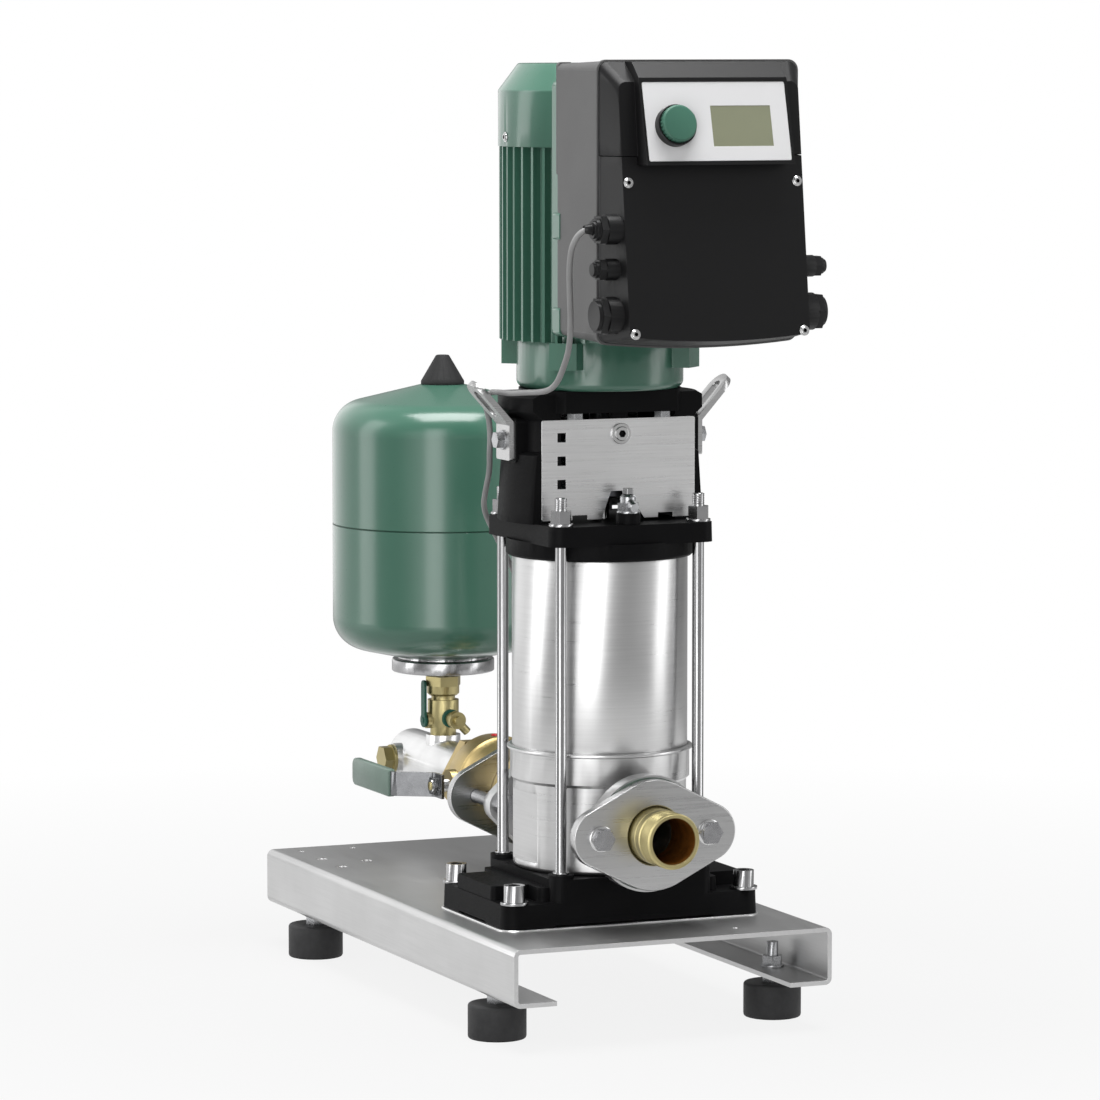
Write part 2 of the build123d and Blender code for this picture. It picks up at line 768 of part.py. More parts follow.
# Suction counter flange, an oval plate
with BuildPart() as suction_flange:
    with BuildSketch(facing_front(-counter_face, z=port_height)):
        oval(oval_height / 2, oval_end, flange_bolt_pitch)
        Circle(nipple_radius, mode=Mode.SUBTRACT)
        with Locations(*oval_places):
            Circle(bolt_radius + free_gap, mode=Mode.SUBTRACT)
    extrude(amount=oval_thickness)
    outer_rim = suction_flange.faces().sort_by(Axis.Y)[0].outer_wire().edges()
    chamfer(outer_rim, 0.8)
    turned(
        flow,
        (nipple_radius, -counter_face - oval_thickness + 3), (nipple_radius, -counter_face - oval_thickness),
        (nipple_radius + 2, -counter_face - oval_thickness),
        mode=Mode.SUBTRACT,
    )
suction_flange.part.label = "suction_flange"
export_step(suction_flange.part, "parts/suction_flange.step")

# Suction nipple, a threaded brass pipe end with a groove round its middle
nipple_end = -counter_face - nipple_length
with BuildPart() as suction_nipple:
    turned(
        flow,
        (nipple_bore, -counter_face), (nipple_radius, -counter_face), (nipple_radius, nipple_end + 19.6),
        (nipple_radius - 0.8, nipple_end + 19), (nipple_radius - 0.8, nipple_end + 18),
        (nipple_radius, nipple_end + 17.4), (nipple_radius, nipple_end + 1.2),
        (nipple_radius - 1.2, nipple_end),
        (nipple_bore + 1, nipple_end), (nipple_bore, nipple_end + 1),
    )
suction_nipple.part.label = "suction_nipple"
export_step(suction_nipple.part, "parts/suction_nipple.step")

# Flange bolts: short ones through the suction flange, long ones past the non-return valve
port_back = port_face - port_flange
suction_face = facing_front(-port_back, z=port_height)
discharge_face = Plane((0, pump_y + port_back, deck_z + port_height), x_dir=(-1, 0, 0), z_dir=(0, 1, 0))
suction_grip = port_flange + gasket + oval_thickness
discharge_grip = suction_grip + check_valve_length
with BuildPart() as flange_bolts:
    discs(suction_face, oval_places, (bolt_radius, -12, suction_grip + 1))
    hexagons(suction_face, oval_places, 18, -10, 0)
    hexagons(suction_face, oval_places, 18, suction_grip, suction_grip + 7)
    discs(suction_face, oval_places, (8.6, suction_grip + 7, suction_grip + 7.8))
    discs(discharge_face, oval_places, (bolt_radius, -1, discharge_grip + 13))
    hexagons(discharge_face, oval_places, 18, -7.5, 0)
    hexagons(discharge_face, oval_places, 18, discharge_grip, discharge_grip + 10)
flange_bolts.part.label = "flange_bolts"
export_step(flange_bolts.part, "parts/flange_bolts.step")

# Non-return valve body, with the flap's seat, its hinge block and the boss for the pressure sensor
sensor_y = counter_face + 22
seat_y = counter_face + 8
hinge_y = seat_y + 7
hinge_rise = check_valve_bore - 1.5
sensor_z = port_height + check_valve_radius + 1
flap_radius = check_valve_bore - 4
with BuildPart() as check_valve_body:
    turned(
        flow,
        (0, counter_face), (check_valve_radius + 2, counter_face),
        (check_valve_radius + 2, counter_face + 7),
        (check_valve_radius - 2, counter_face + 10), (check_valve_radius, counter_face + 16),
        (check_valve_radius, check_end - 14), (check_valve_radius - 2, check_end - 10),
        (check_valve_radius + 2, check_end - 7), (check_valve_radius + 2, check_end), (0, check_end),
    )
    discs(level(0), [(0, sensor_y)], (14, port_height, sensor_z))
    turned(
        flow, (0, seat_y), (check_valve_bore + 3, seat_y), (check_valve_bore + 3, check_end - 5),
        (0, check_end - 5), mode=Mode.SUBTRACT,
    )
    turned(
        flow, (0, counter_face), (port_bore - 2, counter_face), (port_bore - 2, check_end), (0, check_end),
        mode=Mode.SUBTRACT,
    )
    block(
        facing_right(0, y=hinge_y, z=port_height + check_valve_bore), 5,
        2 * (check_valve_bore - hinge_rise) + 5,
        -4, 4,
    )
    discs(
        facing_right(0), [(hinge_y, port_height + hinge_rise)], (1.5 + running_gap, -4, 4),
        mode=Mode.SUBTRACT,
    )
    discs(level(0), [(0, sensor_y)], (5, port_height + check_valve_bore, sensor_z), mode=Mode.SUBTRACT)
check_valve_body.part.label = "check_valve_body"
export_step(check_valve_body.part, "parts/check_valve_body.step")

# Non-return flap: a disc on two ears, with the pin that it swings on
with BuildPart() as check_valve_flap:
    turned(flow, (0, seat_y + 0.3), (flap_radius, seat_y + 0.3), (flap_radius, seat_y + 3), (0, seat_y + 3))
    discs(facing_right(0), [(hinge_y, port_height + hinge_rise)], (1.5, -7, 7))
    for side in (-1, 1):
        with BuildSketch(facing_right(side * 4.6, z=port_height)):
            with BuildLine():
                Polyline(
                    (seat_y + 2, 6), (seat_y + 2, 19), (hinge_y - 2, hinge_rise + 2.2),
                    (hinge_y + 2, hinge_rise + 2.2), (hinge_y + 2, hinge_rise - 3), (seat_y + 5, 6),
                    close=True,
                )
            make_face()
        extrude(amount=side * 2)
check_valve_flap.part.label = "check_valve_flap"
export_step(check_valve_flap.part, "parts/check_valve_flap.step")

# Discharge counter flange
with BuildPart() as discharge_flange:
    with BuildSketch(facing_front(check_end, z=port_height)):
        oval(oval_height / 2, oval_end, flange_bolt_pitch)
        Circle(port_bore, mode=Mode.SUBTRACT)
        with Locations(*oval_places):
            Circle(bolt_radius + free_gap, mode=Mode.SUBTRACT)
    extrude(amount=-oval_thickness)
    chamfer(discharge_flange.faces().sort_by(Axis.Y)[-1].outer_wire().edges(), 0.8)
discharge_flange.part.label = "discharge_flange"
export_step(discharge_flange.part, "parts/discharge_flange.step")

# Ball valve body: a cone, a barrel round the ball, a neck and a union nut round the pipe
barrel_start = stem_y - 12
barrel_end = stem_y + 13
with BuildPart() as ball_valve_body:
    turned(
        flow,
        (0, valve_start), (valve_neck_radius - 2, valve_start), (valve_neck_radius, valve_start + 6),
        (valve_radius - 2, barrel_start - 3), (valve_radius, barrel_start), (valve_radius, barrel_end),
        (valve_radius - 2, barrel_end + 2), (valve_neck_radius + 2, barrel_end + 4),
        (valve_neck_radius, barrel_end + 7), (valve_neck_radius, valve_end), (0, valve_end),
    )
    with BuildSketch(facing_front(valve_end, z=port_height)):
        RegularPolygon(valve_nut_flats / 2, 6, major_radius=False)
    extrude(amount=-14)
    discs(facing_right(0), [(stem_y, port_height)], (14, -valve_radius - 5, -valve_radius + 10))
    turned(
        flow, (0, valve_start), (port_bore - 3, valve_start), (port_bore - 3, valve_end + 14),
        (0, valve_end + 14), mode=Mode.SUBTRACT,
    )
    turned(
        flow, (0, pipe_start - 1.5), (pipe_bore + 1, pipe_start - 1.5), (pipe_bore + 1, pipe_start),
        (pipe_radius, pipe_start), (pipe_radius, valve_end + 14), (0, valve_end + 14),
        mode=Mode.SUBTRACT,
    )
    with Locations(Location((0, pump_y + stem_y, deck_z + port_height))):
        Sphere(ball_radius + free_gap, mode=Mode.SUBTRACT)
    discs(facing_right(0), [(stem_y, port_height)], (stem_radius + running_gap, -valve_radius - 5, 0),
          mode=Mode.SUBTRACT)
ball_valve_body.part.label = "ball_valve_body"
export_step(ball_valve_body.part, "parts/ball_valve_body.step")

# Valve ball with its stem
with BuildPart() as valve_ball:
    with Locations(Location((0, pump_y + stem_y, deck_z + port_height))):
        Sphere(ball_radius)
    discs(facing_right(0), [(stem_y, port_height)], (stem_radius, -stem_reach - 3, -ball_radius + 3))
    turned(
        flow, (0, stem_y - ball_radius), (ball_bore, stem_y - ball_radius),
        (ball_bore, stem_y + ball_radius),
        (0, stem_y + ball_radius), mode=Mode.SUBTRACT,
    )
valve_ball.part.label = "valve_ball"
export_step(valve_ball.part, "parts/valve_ball.step")

# Valve lever: a bent steel strip on the stem, held by a nut
lever_root = -stem_reach + 5
grip_start = stem_y + lever_length - grip_length
with BuildPart() as valve_lever:
    with BuildSketch(level(port_height)):
        with BuildLine() as lever_line:
            FilletPolyline(
                (lever_root, stem_y - 11), (lever_root, stem_y + 7), (-lever_reach, grip_start),
                (-lever_reach, stem_y + lever_length - 2), radius=6,
            )
        trace(lever_line.line, line_width=lever_thickness)
    extrude(amount=lever_height / 2, both=True)
    discs(facing_right(0), [(stem_y, port_height)], (stem_radius, lever_root - 5, lever_root + 5),
          mode=Mode.SUBTRACT)
    hexagons(facing_right(0), [(stem_y, port_height)], 15, lever_root - 7, lever_root - lever_thickness / 2)
    discs(
        facing_right(0), [(stem_y, port_height)], (stem_radius, lever_root - 7, lever_root),
        mode=Mode.SUBTRACT,
    )
valve_lever.part.label = "valve_lever"
export_step(valve_lever.part, "parts/valve_lever.step")

# Lever sleeve, a dipped plastic grip
with BuildPart() as lever_sleeve:
    block(
        Plane((-lever_reach, pump_y + grip_start + 4, deck_z + port_height), x_dir=(1, 0, 0),
        z_dir=(0, 1, 0)),
        lever_thickness + 4, lever_height + 3, 0, grip_length, 3,
    )
    block(
        Plane((-lever_reach, pump_y + grip_start + 4, deck_z + port_height), x_dir=(1, 0, 0),
        z_dir=(0, 1, 0)),
        lever_thickness, lever_height, 0, stem_y + lever_length - 2 - grip_start - 4, mode=Mode.SUBTRACT,
    )
lever_sleeve.part.label = "lever_sleeve"
export_step(lever_sleeve.part, "parts/lever_sleeve.step")

# Outlet pipe with the tank's socket on top and a plugged side tapping
pipe_end = pipe_start + pipe_length
plug_y = pipe_end - 23
plug_x = -pipe_radius - 4
with BuildPart() as discharge_pipe:
    turned(
        flow, (0, pipe_start), (pipe_radius, pipe_start), (pipe_radius, pipe_end - 1),
        (pipe_radius - 1, pipe_end), (0, pipe_end),
    )
    discs(level(0), [(0, tank_reach)], (socket_radius, port_height, socket_top))
    discs(facing_right(0), [(plug_y, port_height)], (14, plug_x, -5))
    turned(
        flow, (0, pipe_start), (pipe_bore, pipe_start), (pipe_bore, pipe_end), (0, pipe_end),
        mode=Mode.SUBTRACT,
    )
    discs(level(0), [(0, tank_reach)], (10, port_height, socket_top), mode=Mode.SUBTRACT)
    discs(facing_right(0), [(plug_y, port_height)], (8, plug_x, -5), mode=Mode.SUBTRACT)
discharge_pipe.part.label = "discharge_pipe"
export_step(discharge_pipe.part, "parts/discharge_pipe.step")

# Brass plug in the pipe's side tapping
with BuildPart() as pipe_plug:
    discs(facing_right(0), [(plug_y, port_height)], (8, plug_x, plug_x + 5), (13, plug_x - 3, plug_x))
    hexagons(facing_right(0), [(plug_y, port_height)], 22, plug_x - 12, plug_x - 3)
pipe_plug.part.label = "pipe_plug"
export_step(pipe_plug.part, "parts/pipe_plug.step")

# Pressure sensor on the non-return valve, with the cable's grommet on top
cable_end_z = cable_route[-1][2]
with BuildPart() as pressure_sensor:
    discs(
        level(0), [(0, sensor_y)],
        (5, sensor_z - 8, sensor_z), (12.5, sensor_z + 10, cable_end_z - 18),
        (9, cable_end_z - 18, cable_end_z - 8),
        (5.5, cable_end_z - 8, cable_end_z),
    )
    hexagons(level(0), [(0, sensor_y)], 27, sensor_z, sensor_z + 10)
pressure_sensor.part.label = "pressure_sensor"
export_step(pressure_sensor.part, "parts/pressure_sensor.step")

# Tank valve body: spigot, barrel, collar and the nut round the tank's thread, with a drain branch
tank_valve_z = socket_top + 7.5
tank_axis_plane = facing_front(tank_reach)
drain_y = tank_reach - tank_valve_radius
drain_z = tank_valve_z + 9
tank_stem_z = tank_valve_z + 6
spigot_end = port_height + pipe_bore + 1
with BuildPart() as tank_valve_body:
    turned(
        tank_axis_plane,
        (6, spigot_end), (10, spigot_end), (10, socket_top), (12, socket_top), (12, tank_valve_z),
        (tank_valve_radius, tank_valve_z), (tank_valve_radius, tank_valve_z + 25), (11, tank_valve_z + 25),
        (11, tank_valve_z + 29), (13, tank_valve_z + 29), (15, tank_valve_z + 31), (15, tank_valve_z + 38),
        (6, tank_valve_z + 38),
    )
    hexagons(level(0), [(0, tank_reach)], 30, tank_valve_z + 38, tank_foot - 20)
    discs(level(0), [(0, tank_reach)], (10, tank_valve_z + 36, tank_foot - 20), mode=Mode.SUBTRACT)
    discs(facing_right(0), [(tank_reach, tank_stem_z)], (7.5, -tank_valve_radius - 3, -8))
    with BuildSketch(facing_front(drain_y + 4, z=drain_z)):
        Circle(6.5)
    extrude(amount=6)
    with BuildSketch(facing_front(drain_y - 2, z=drain_z)):
        Circle(5)
    extrude(amount=-12, mode=Mode.SUBTRACT)
    discs(facing_right(0), [(tank_reach, tank_stem_z)], (3 + running_gap, -tank_valve_radius - 3, -5.5),
          mode=Mode.SUBTRACT)
tank_valve_body.part.label = "tank_valve_body"
export_step(tank_valve_body.part, "parts/tank_valve_body.step")

# Tank valve lever: its stem in the valve and a flat green handle outside
handle_x = -tank_valve_radius - 3.5
with BuildPart() as tank_valve_lever:
    discs(facing_right(0), [(tank_reach, tank_stem_z)], (3, handle_x - 3.5, -6.5))
    with BuildSketch(facing_right(handle_x, y=tank_reach, z=tank_stem_z)):
        Circle(6.5)
        with Locations((0, tank_lever_length / 2)):
            SlotOverall(tank_lever_length + 7, 9, rotation=90)
    extrude(amount=-2.5)
tank_valve_lever.part.label = "tank_valve_lever"
export_step(tank_valve_lever.part, "parts/tank_valve_lever.step")

# Drain cap: a threaded brass cap on the drain branch, with a bent spout
with BuildPart() as drain_cap:
    drain_face = facing_front(drain_y - 2, z=drain_z)
    discs(
        drain_face, [(0, 0)], (4.7, -8, 0), (7.5, 0, 3), (6, 3, 12), (8, 12, 20), (4, 20, 24),
    )
    with BuildSketch(
        Plane((0, pump_y + drain_y - 17, deck_z + drain_z), x_dir=(0, 1, 0), z_dir=(0.7, 0, -0.714))
    ):
        Circle(4)
    extrude(amount=16)
drain_cap.part.label = "drain_cap"
export_step(drain_cap.part, "parts/drain_cap.step")

# Tank clamp ring: the flange that closes the tank, with the threaded spigot into the valve
with BuildPart() as tank_clamp_ring:
    turned(
        tank_axis_plane,
        (6, tank_valve_z + 38), (9.9, tank_valve_z + 38), (9.9, tank_foot - 18), (20, tank_foot - 15),
        (clamp_radius - 1, tank_foot - 15), (clamp_radius, tank_foot - 14), (clamp_radius, tank_foot - 4),
        (clamp_radius - 1, tank_foot - 3), (clamp_radius - 6, tank_foot - 3), (clamp_radius - 6, tank_foot),
        (6, tank_foot),
    )
tank_clamp_ring.part.label = "tank_clamp_ring"
export_step(tank_clamp_ring.part, "parts/tank_clamp_ring.step")

# Tank shells: two drawn steel halves that meet in a shallow seam groove
shell_dome = 12
shell_corner = 30
with BuildPart() as tank_shell_lower:
    turned(
        tank_axis_plane,
        (8, tank_foot), (clamp_radius, tank_foot), (tank_radius, tank_foot + shell_dome),
        (tank_radius, tank_seam - 0.8), (tank_radius - 0.8, tank_seam), (tank_radius - tank_wall, tank_seam),
        (tank_radius - tank_wall, tank_foot + shell_dome + tank_wall), (clamp_radius, tank_foot + tank_wall),
        (8, tank_foot + tank_wall),
        rounds=[
            ((tank_radius, tank_foot + shell_dome), shell_corner),
            ((tank_radius - tank_wall, tank_foot + shell_dome + tank_wall), shell_corner - tank_wall),
        ],
    )
tank_shell_lower.part.label = "tank_shell_lower"
export_step(tank_shell_lower.part, "parts/tank_shell_lower.step")

shell_shoulder = tank_top - 20
with BuildPart() as tank_shell_upper:
    turned(
        tank_axis_plane,
        (0, tank_top), (tank_cap_radius, tank_top), (tank_radius, shell_shoulder),
        (tank_radius, tank_seam + 0.8), (tank_radius - 0.8, tank_seam), (tank_radius - tank_wall, tank_seam),
        (tank_radius - tank_wall, shell_shoulder - tank_wall), (tank_cap_radius, tank_top - tank_wall),
        (0, tank_top - tank_wall),
        rounds=[
            ((tank_radius, shell_shoulder), shell_corner),
            ((tank_radius - tank_wall, shell_shoulder - tank_wall), shell_corner - tank_wall),
        ],
    )
tank_shell_upper.part.label = "tank_shell_upper"
export_step(tank_shell_upper.part, "parts/tank_shell_upper.step")

# Tank membrane: a rubber bag clamped at the seam
skin = tank_wall + 0.8
with BuildPart() as tank_membrane:
    turned(
        tank_axis_plane,
        (0, tank_foot + skin), (clamp_radius, tank_foot + skin),
        (tank_radius - skin, tank_foot + shell_dome + skin),
        (tank_radius - skin, tank_seam), (tank_radius - skin - 2, tank_seam),
        (tank_radius - skin - 2, tank_foot + shell_dome + skin + 2), (clamp_radius, tank_foot + skin + 2),
        (0, tank_foot + skin + 2),
        rounds=[
            ((tank_radius - skin, tank_foot + shell_dome + skin), shell_corner - skin),
            ((tank_radius - skin - 2, tank_foot + shell_dome + skin + 2), shell_corner - skin - 2),
        ],
    )
tank_membrane.part.label = "tank_membrane"
export_step(tank_membrane.part, "parts/tank_membrane.step")

# Tank cap: the rubber cone over the air valve
with BuildPart() as tank_cap:
    turned(
        tank_axis_plane,
        (0, tank_top), (tank_cap_radius, tank_top), (tank_cap_radius, tank_top + 3),
        (6.5, tank_top + tank_cap_height - 1), (5.5, tank_top + tank_cap_height),
        (0, tank_top + tank_cap_height),
    )
tank_cap.part.label = "tank_cap"
export_step(tank_cap.part, "parts/tank_cap.step")

# Motor end shield: the lower drum with the bearing's seat and four lugs under the housing
bearing_low = motor_z + 14
stator_low = housing_z + 22
stator_high = stator_low + 90
roof_z = cover_z - 8
bearing_high = roof_z - bearing_width
with BuildPart() as motor_end_shield:
    turned(
        facing_front(),
        (motor_shaft_radius + 3, motor_z), (shield_radius, motor_z), (shield_radius, housing_z),
        (shield_radius - 6, housing_z), (shield_radius - 6, motor_z + 12),
        (bearing_radius + 6, motor_z + 12),
        (bearing_radius + 6, bearing_low + bearing_width), (bearing_radius, bearing_low + bearing_width),
        (bearing_radius, bearing_low), (motor_shaft_radius + 3, bearing_low),
        rounds=[((shield_radius, motor_z), 7)],
    )
    with BuildSketch(level(housing_z - 23)):
        with PolarLocations(fin_radius - 10, 4, start_angle=45):
            Rectangle(20, 25)
        Circle(shield_radius - 2, mode=Mode.SUBTRACT)
    extrude(amount=23)
    discs(level(0), motor_places, (4, motor_z, motor_z + 12), mode=Mode.SUBTRACT)
motor_end_shield.part.label = "motor_end_shield"
export_step(motor_end_shield.part, "parts/motor_end_shield.step")

# Motor housing: a cast drum with cooling fins all round, and the upper bearing's seat in its roof
with BuildPart() as motor_housing:
    turned(
        facing_front(),
        (bore_radius, housing_z), (core_radius, housing_z), (core_radius, cover_z),
        (cover_radius - cover_wall, cover_z), (cover_radius - cover_wall, cover_z + 5),
        (motor_shaft_radius + 3, cover_z + 5),
        (motor_shaft_radius + 3, roof_z), (bearing_radius, roof_z), (bearing_radius, bearing_high),
        (bearing_radius + 6, bearing_high), (bearing_radius + 6, roof_z), (bore_radius, roof_z),
    )
    with BuildSketch(level(housing_z)):
        with PolarLocations((core_radius - 1 + fin_radius) / 2, fin_count):
            Rectangle(fin_radius - core_radius + 1, fin_thickness)
    extrude(amount=housing_height)
motor_housing.part.label = "motor_housing"
export_step(motor_housing.part, "parts/motor_housing.step")

# Stator with its end windings
with BuildPart() as stator:
    turned(
        facing_front(),
        (40.6, stator_low), (bore_radius, stator_low), (bore_radius, stator_high), (40.6, stator_high),
    )
    for low, high in ((stator_low - 14, stator_low), (stator_high, stator_high + 12)):
        turned(facing_front(), (46, low), (64, low), (64, high), (46, high))
stator.part.label = "stator"
export_step(stator.part, "parts/stator.step")

# Motor rotor: the laminated core on its shaft, from the coupling up to the fan
fan_z = cover_z + 9
fan_height = 26
with BuildPart() as motor_rotor:
    turned(
        facing_front(),
        (0, shaft_top), (motor_shaft_radius, shaft_top), (motor_shaft_radius, stator_low), (40, stator_low),
        (40, stator_high), (motor_shaft_radius, stator_high), (motor_shaft_radius, fan_z + fan_height + 2),
        (0, fan_z + fan_height + 2),
    )
motor_rotor.part.label = "motor_rotor"
export_step(motor_rotor.part, "parts/motor_rotor.step")

# Motor bearings
with BuildPart() as motor_bearings:
    for low in (bearing_low, bearing_high):
        turned(
            facing_front(),
            (motor_shaft_radius + running_gap, low), (bearing_radius, low),
            (bearing_radius, low + bearing_width),
            (motor_shaft_radius + running_gap, low + bearing_width),
        )
motor_bearings.part.label = "motor_bearings"
export_step(motor_bearings.part, "parts/motor_bearings.step")

# Cooling fan: a disc and straight blades on a hub
fan_radius = cover_radius - 18
with BuildPart() as cooling_fan:
    turned(
        facing_front(),
        (motor_shaft_radius, fan_z), (fan_radius, fan_z), (fan_radius, fan_z + 2.5), (17, fan_z + 2.5),
        (17, fan_z + fan_height), (motor_shaft_radius, fan_z + fan_height),
    )
    with BuildSketch(level(fan_z + 2)):
        with PolarLocations((fan_radius + 14) / 2, 8):
            Rectangle(fan_radius - 14, 2.5)
    extrude(amount=fan_height - 2)
cooling_fan.part.label = "cooling_fan"
export_step(cooling_fan.part, "parts/cooling_fan.step")

# Fan cover: a spun sheet hood with an air grille of radial slots in its top
hood_planes = [
    Plane(
        (across * cover_radius, pump_y + along * cover_radius, deck_z + cover_z + 8),
        x_dir=(0, 0, 1), z_dir=(across, along, 0),
    )
    for across, along in ((-1, 0), (1, 0), (0, 1))
]
with BuildPart() as fan_cover:
    turned(
        facing_front(),
        (0, motor_top), (cone_top_radius, motor_top), (cover_radius, cone_z), (cover_radius, cover_z),
        (cover_radius - cover_wall, cover_z), (cover_radius - cover_wall, cone_z),
        (cone_top_radius - cover_wall, motor_top - cover_wall), (0, motor_top - cover_wall),
        rounds=[((cone_top_radius, motor_top), 3), ((cover_radius, cone_z), 3)],
    )
    for plane in hood_planes:
        discs(plane, [(0, 0)], (2, -3, 1), mode=Mode.SUBTRACT)
    with BuildSketch(level(motor_top - 2 * cover_wall)):
        for radius, count, length in ((28, 14, 18), (51, 28, 18)):
            with PolarLocations(radius, count):
                SlotOverall(length, 5)
    extrude(amount=4 * cover_wall, mode=Mode.SUBTRACT)
fan_cover.part.label = "fan_cover"
export_step(fan_cover.part, "parts/fan_cover.step")

# Bolts through the lantern: four up into the motor, and one for each lifting eye
with BuildPart() as lantern_bolts:
    discs(level(seat_z), motor_places, (4, -2, seat_thickness + 12))
    hexagons(level(seat_z), motor_places, 13, -5.2, 0)
    for side in (-1, 1):
        outward = Plane(
            (side * (pad_x + eye_sheet), pump_y, deck_z + eye_level), x_dir=(0, side, 0), z_dir=(side, 0, 0)
        )
        discs(outward, [(0, 0)], (4, -eye_sheet - 11, 0), (8.5, 0, 1.6))
        hexagons(outward, [(0, 0)], 13, 1.6, 7.5)
lantern_bolts.part.label = "lantern_bolts"
export_step(lantern_bolts.part, "parts/lantern_bolts.step")

# Terminal base: the adapter that carries the converter on the motor, with four lugs
terminal_z = converter_z + converter_height / 2 - 9
lug_levels = (converter_z + 16, converter_z + 95)
lug_depth = 6
with BuildPart() as terminal_base:
    block(facing_front(-70, z=terminal_z), terminal_width, converter_height - 20, 0, converter_back - 70, 6)
    discs(level(0), [(0, 0)], (cover_radius + free_gap, housing_z, motor_top), mode=Mode.SUBTRACT)
    for lug in lug_levels:
        block(facing_front(-converter_back, z=lug), converter_width - 3, 22, -8, lug_depth, 2)
terminal_base.part.label = "terminal_base"
export_step(terminal_base.part, "parts/terminal_base.step")


def housing_face(plane, width, height, sag, corner):
    """An upright rectangle with rounded corners and a bottom edge that sags in the middle."""
    with BuildSketch(plane) as profile:
        with BuildLine():
            Polyline((-width / 2, -height / 2), (-width / 2, height / 2), (width / 2, height / 2),
                     (width / 2, -height / 2))
            ThreePointArc((width / 2, -height / 2), (0, -height / 2 - sag), (-width / 2, -height / 2))
        make_face()
        fillet(profile.vertices(), corner)
    return profile.sketch


# Converter casing: a moulded box, open at the front, with a rim for the cover
converter_mid = converter_z + converter_height / 2
shoulder_rise = 94
casing_back_plane = Plane(
    (0, pump_y - converter_front, deck_z + converter_mid), x_dir=(-1, 0, 0), z_dir=(0, 1, 0)
)
with BuildPart() as converter_casing:
    outer = housing_face(casing_back_plane, converter_width, converter_height - cover_sag, cover_sag, 8)
    extrude(outer, amount=converter_depth, taper=1.7)
    rim = housing_face(
        casing_back_plane, converter_width + 2, converter_height - cover_sag + 2, cover_sag, 9,
    )
    extrude(rim, amount=4)
    inner = housing_face(
        casing_back_plane, converter_width - 2 * converter_wall,
        converter_height - cover_sag - 2 * converter_wall, cover_sag, 5,
    )
    extrude(inner, amount=converter_depth - converter_wall, taper=1.7, mode=Mode.SUBTRACT)
    shoulder = facing_front(-converter_back, z=converter_z + converter_height - shoulder_rise / 2 - 4)
    block(shoulder, converter_width - 7, shoulder_rise, -5, 0, 3)
    block(shoulder, terminal_width + 2 * free_gap, 2 * shoulder_rise, -5, 0, mode=Mode.SUBTRACT)
    for lug in lug_levels:
        block(
            facing_front(-converter_back, z=lug), 2 * converter_width, 22 + 2 * free_gap, 0,
            lug_depth + free_gap, mode=Mode.SUBTRACT,
        )
converter_casing.part.label = "converter_casing"
export_step(converter_casing.part, "parts/converter_casing.step")

# Cover form: from the casing's rim to a leaning front, used by the cover and the display module
cover_rise = converter_height - cover_top_drop - cover_bottom_rise
cover_lean = degrees(atan2(cover_front_bottom - cover_front_top, cover_rise))
cover_front_height = hypot(cover_front_bottom - cover_front_top, cover_rise)
cover_front_mid = -converter_front - (cover_front_top + cover_front_bottom) / 2
cover_front_z = converter_z + (converter_height - cover_top_drop + cover_bottom_rise) / 2
cover_plane = leaning(cover_front_mid, cover_front_z, cover_lean)
rim_plane = facing_front(-converter_front, z=converter_mid)
panel_plane = leaning(-panel_reach, panel_level, panel_lean)


def cover_form(inset, mode=Mode.ADD):
    """The cover's outer form, or its hollow when it is inset."""
    back = housing_face(
        rim_plane, converter_width - 1 - 2 * inset, converter_height - 1 - cover_sag - 2 * inset,
        cover_sag, 8,
    )
    front = housing_face(
        cover_plane.offset(-inset), cover_front_width - 2 * inset,
        cover_front_height - cover_sag - 2 * inset,
        cover_sag, 7,
    )
    loft([back, front], mode=mode)


def module_form(slack, mode=Mode.ADD):
    """The display module's wedge, seen from the side, over the module's width."""
    half = panel_height / 2 + module_rim + 1 + slack
    lean = radians(panel_lean)
    lift = 0.5 + slack
    low = (
        -panel_reach - half * sin(lean) - lift * cos(lean),
        panel_level - half * cos(lean) + lift * sin(lean),
    )
    high = (
        -panel_reach + half * sin(lean) - lift * cos(lean),
        panel_level + half * cos(lean) + lift * sin(lean),
    )
    top = converter_z + converter_height - 3
    with BuildSketch(facing_right(0)) as profile:
        with BuildLine():
            Polyline(
                low, high, (high[0] + 14, top + slack), (-converter_front - 1, top + slack),
                (-converter_front - 1, low[1]), close=True,
            )
        make_face()
    extrude(profile.sketch, amount=panel_width / 2 + module_rim + slack, both=True, mode=mode)


# Converter cover: the screwed lower front with the cable entries' bosses
gland_y = -converter_front - 22
entries = [
    (-1, converter_z + 96, 12.3), (-1, converter_z + 63.5, 9), (-1, converter_z + 26, 15.5),
    (1, converter_z + 63.5, 9), (1, converter_z + 26, 15.5),
]
boss_reach = converter_width / 2 + 4
screw_places = [(x, y) for x in (-76, 76) for y in (21.7, -101.7)]
with BuildPart() as converter_cover:
    cover_form(0)
    for side, height, radius in entries:
        discs(facing_right(0), [(gland_y, height)], (radius, side * 70, side * boss_reach))
    cover_form(converter_wall, mode=Mode.SUBTRACT)
    for side, height, radius in entries:
        discs(
            facing_right(0), [(gland_y, height)], (radius * 0.55, side * 66, side * boss_reach),
            mode=Mode.SUBTRACT,
        )
    block(level(cover_split - 0.6), 3 * converter_width, 4 * converter_front, 0, converter_height,
          mode=Mode.SUBTRACT)
    module_form(0.6, mode=Mode.SUBTRACT)
    discs(cover_plane, screw_places, (4.6, -2.2, 3), (2.3, -8, 3), mode=Mode.SUBTRACT)
converter_cover.part.label = "converter_cover"
export_step(converter_cover.part, "parts/converter_cover.step")

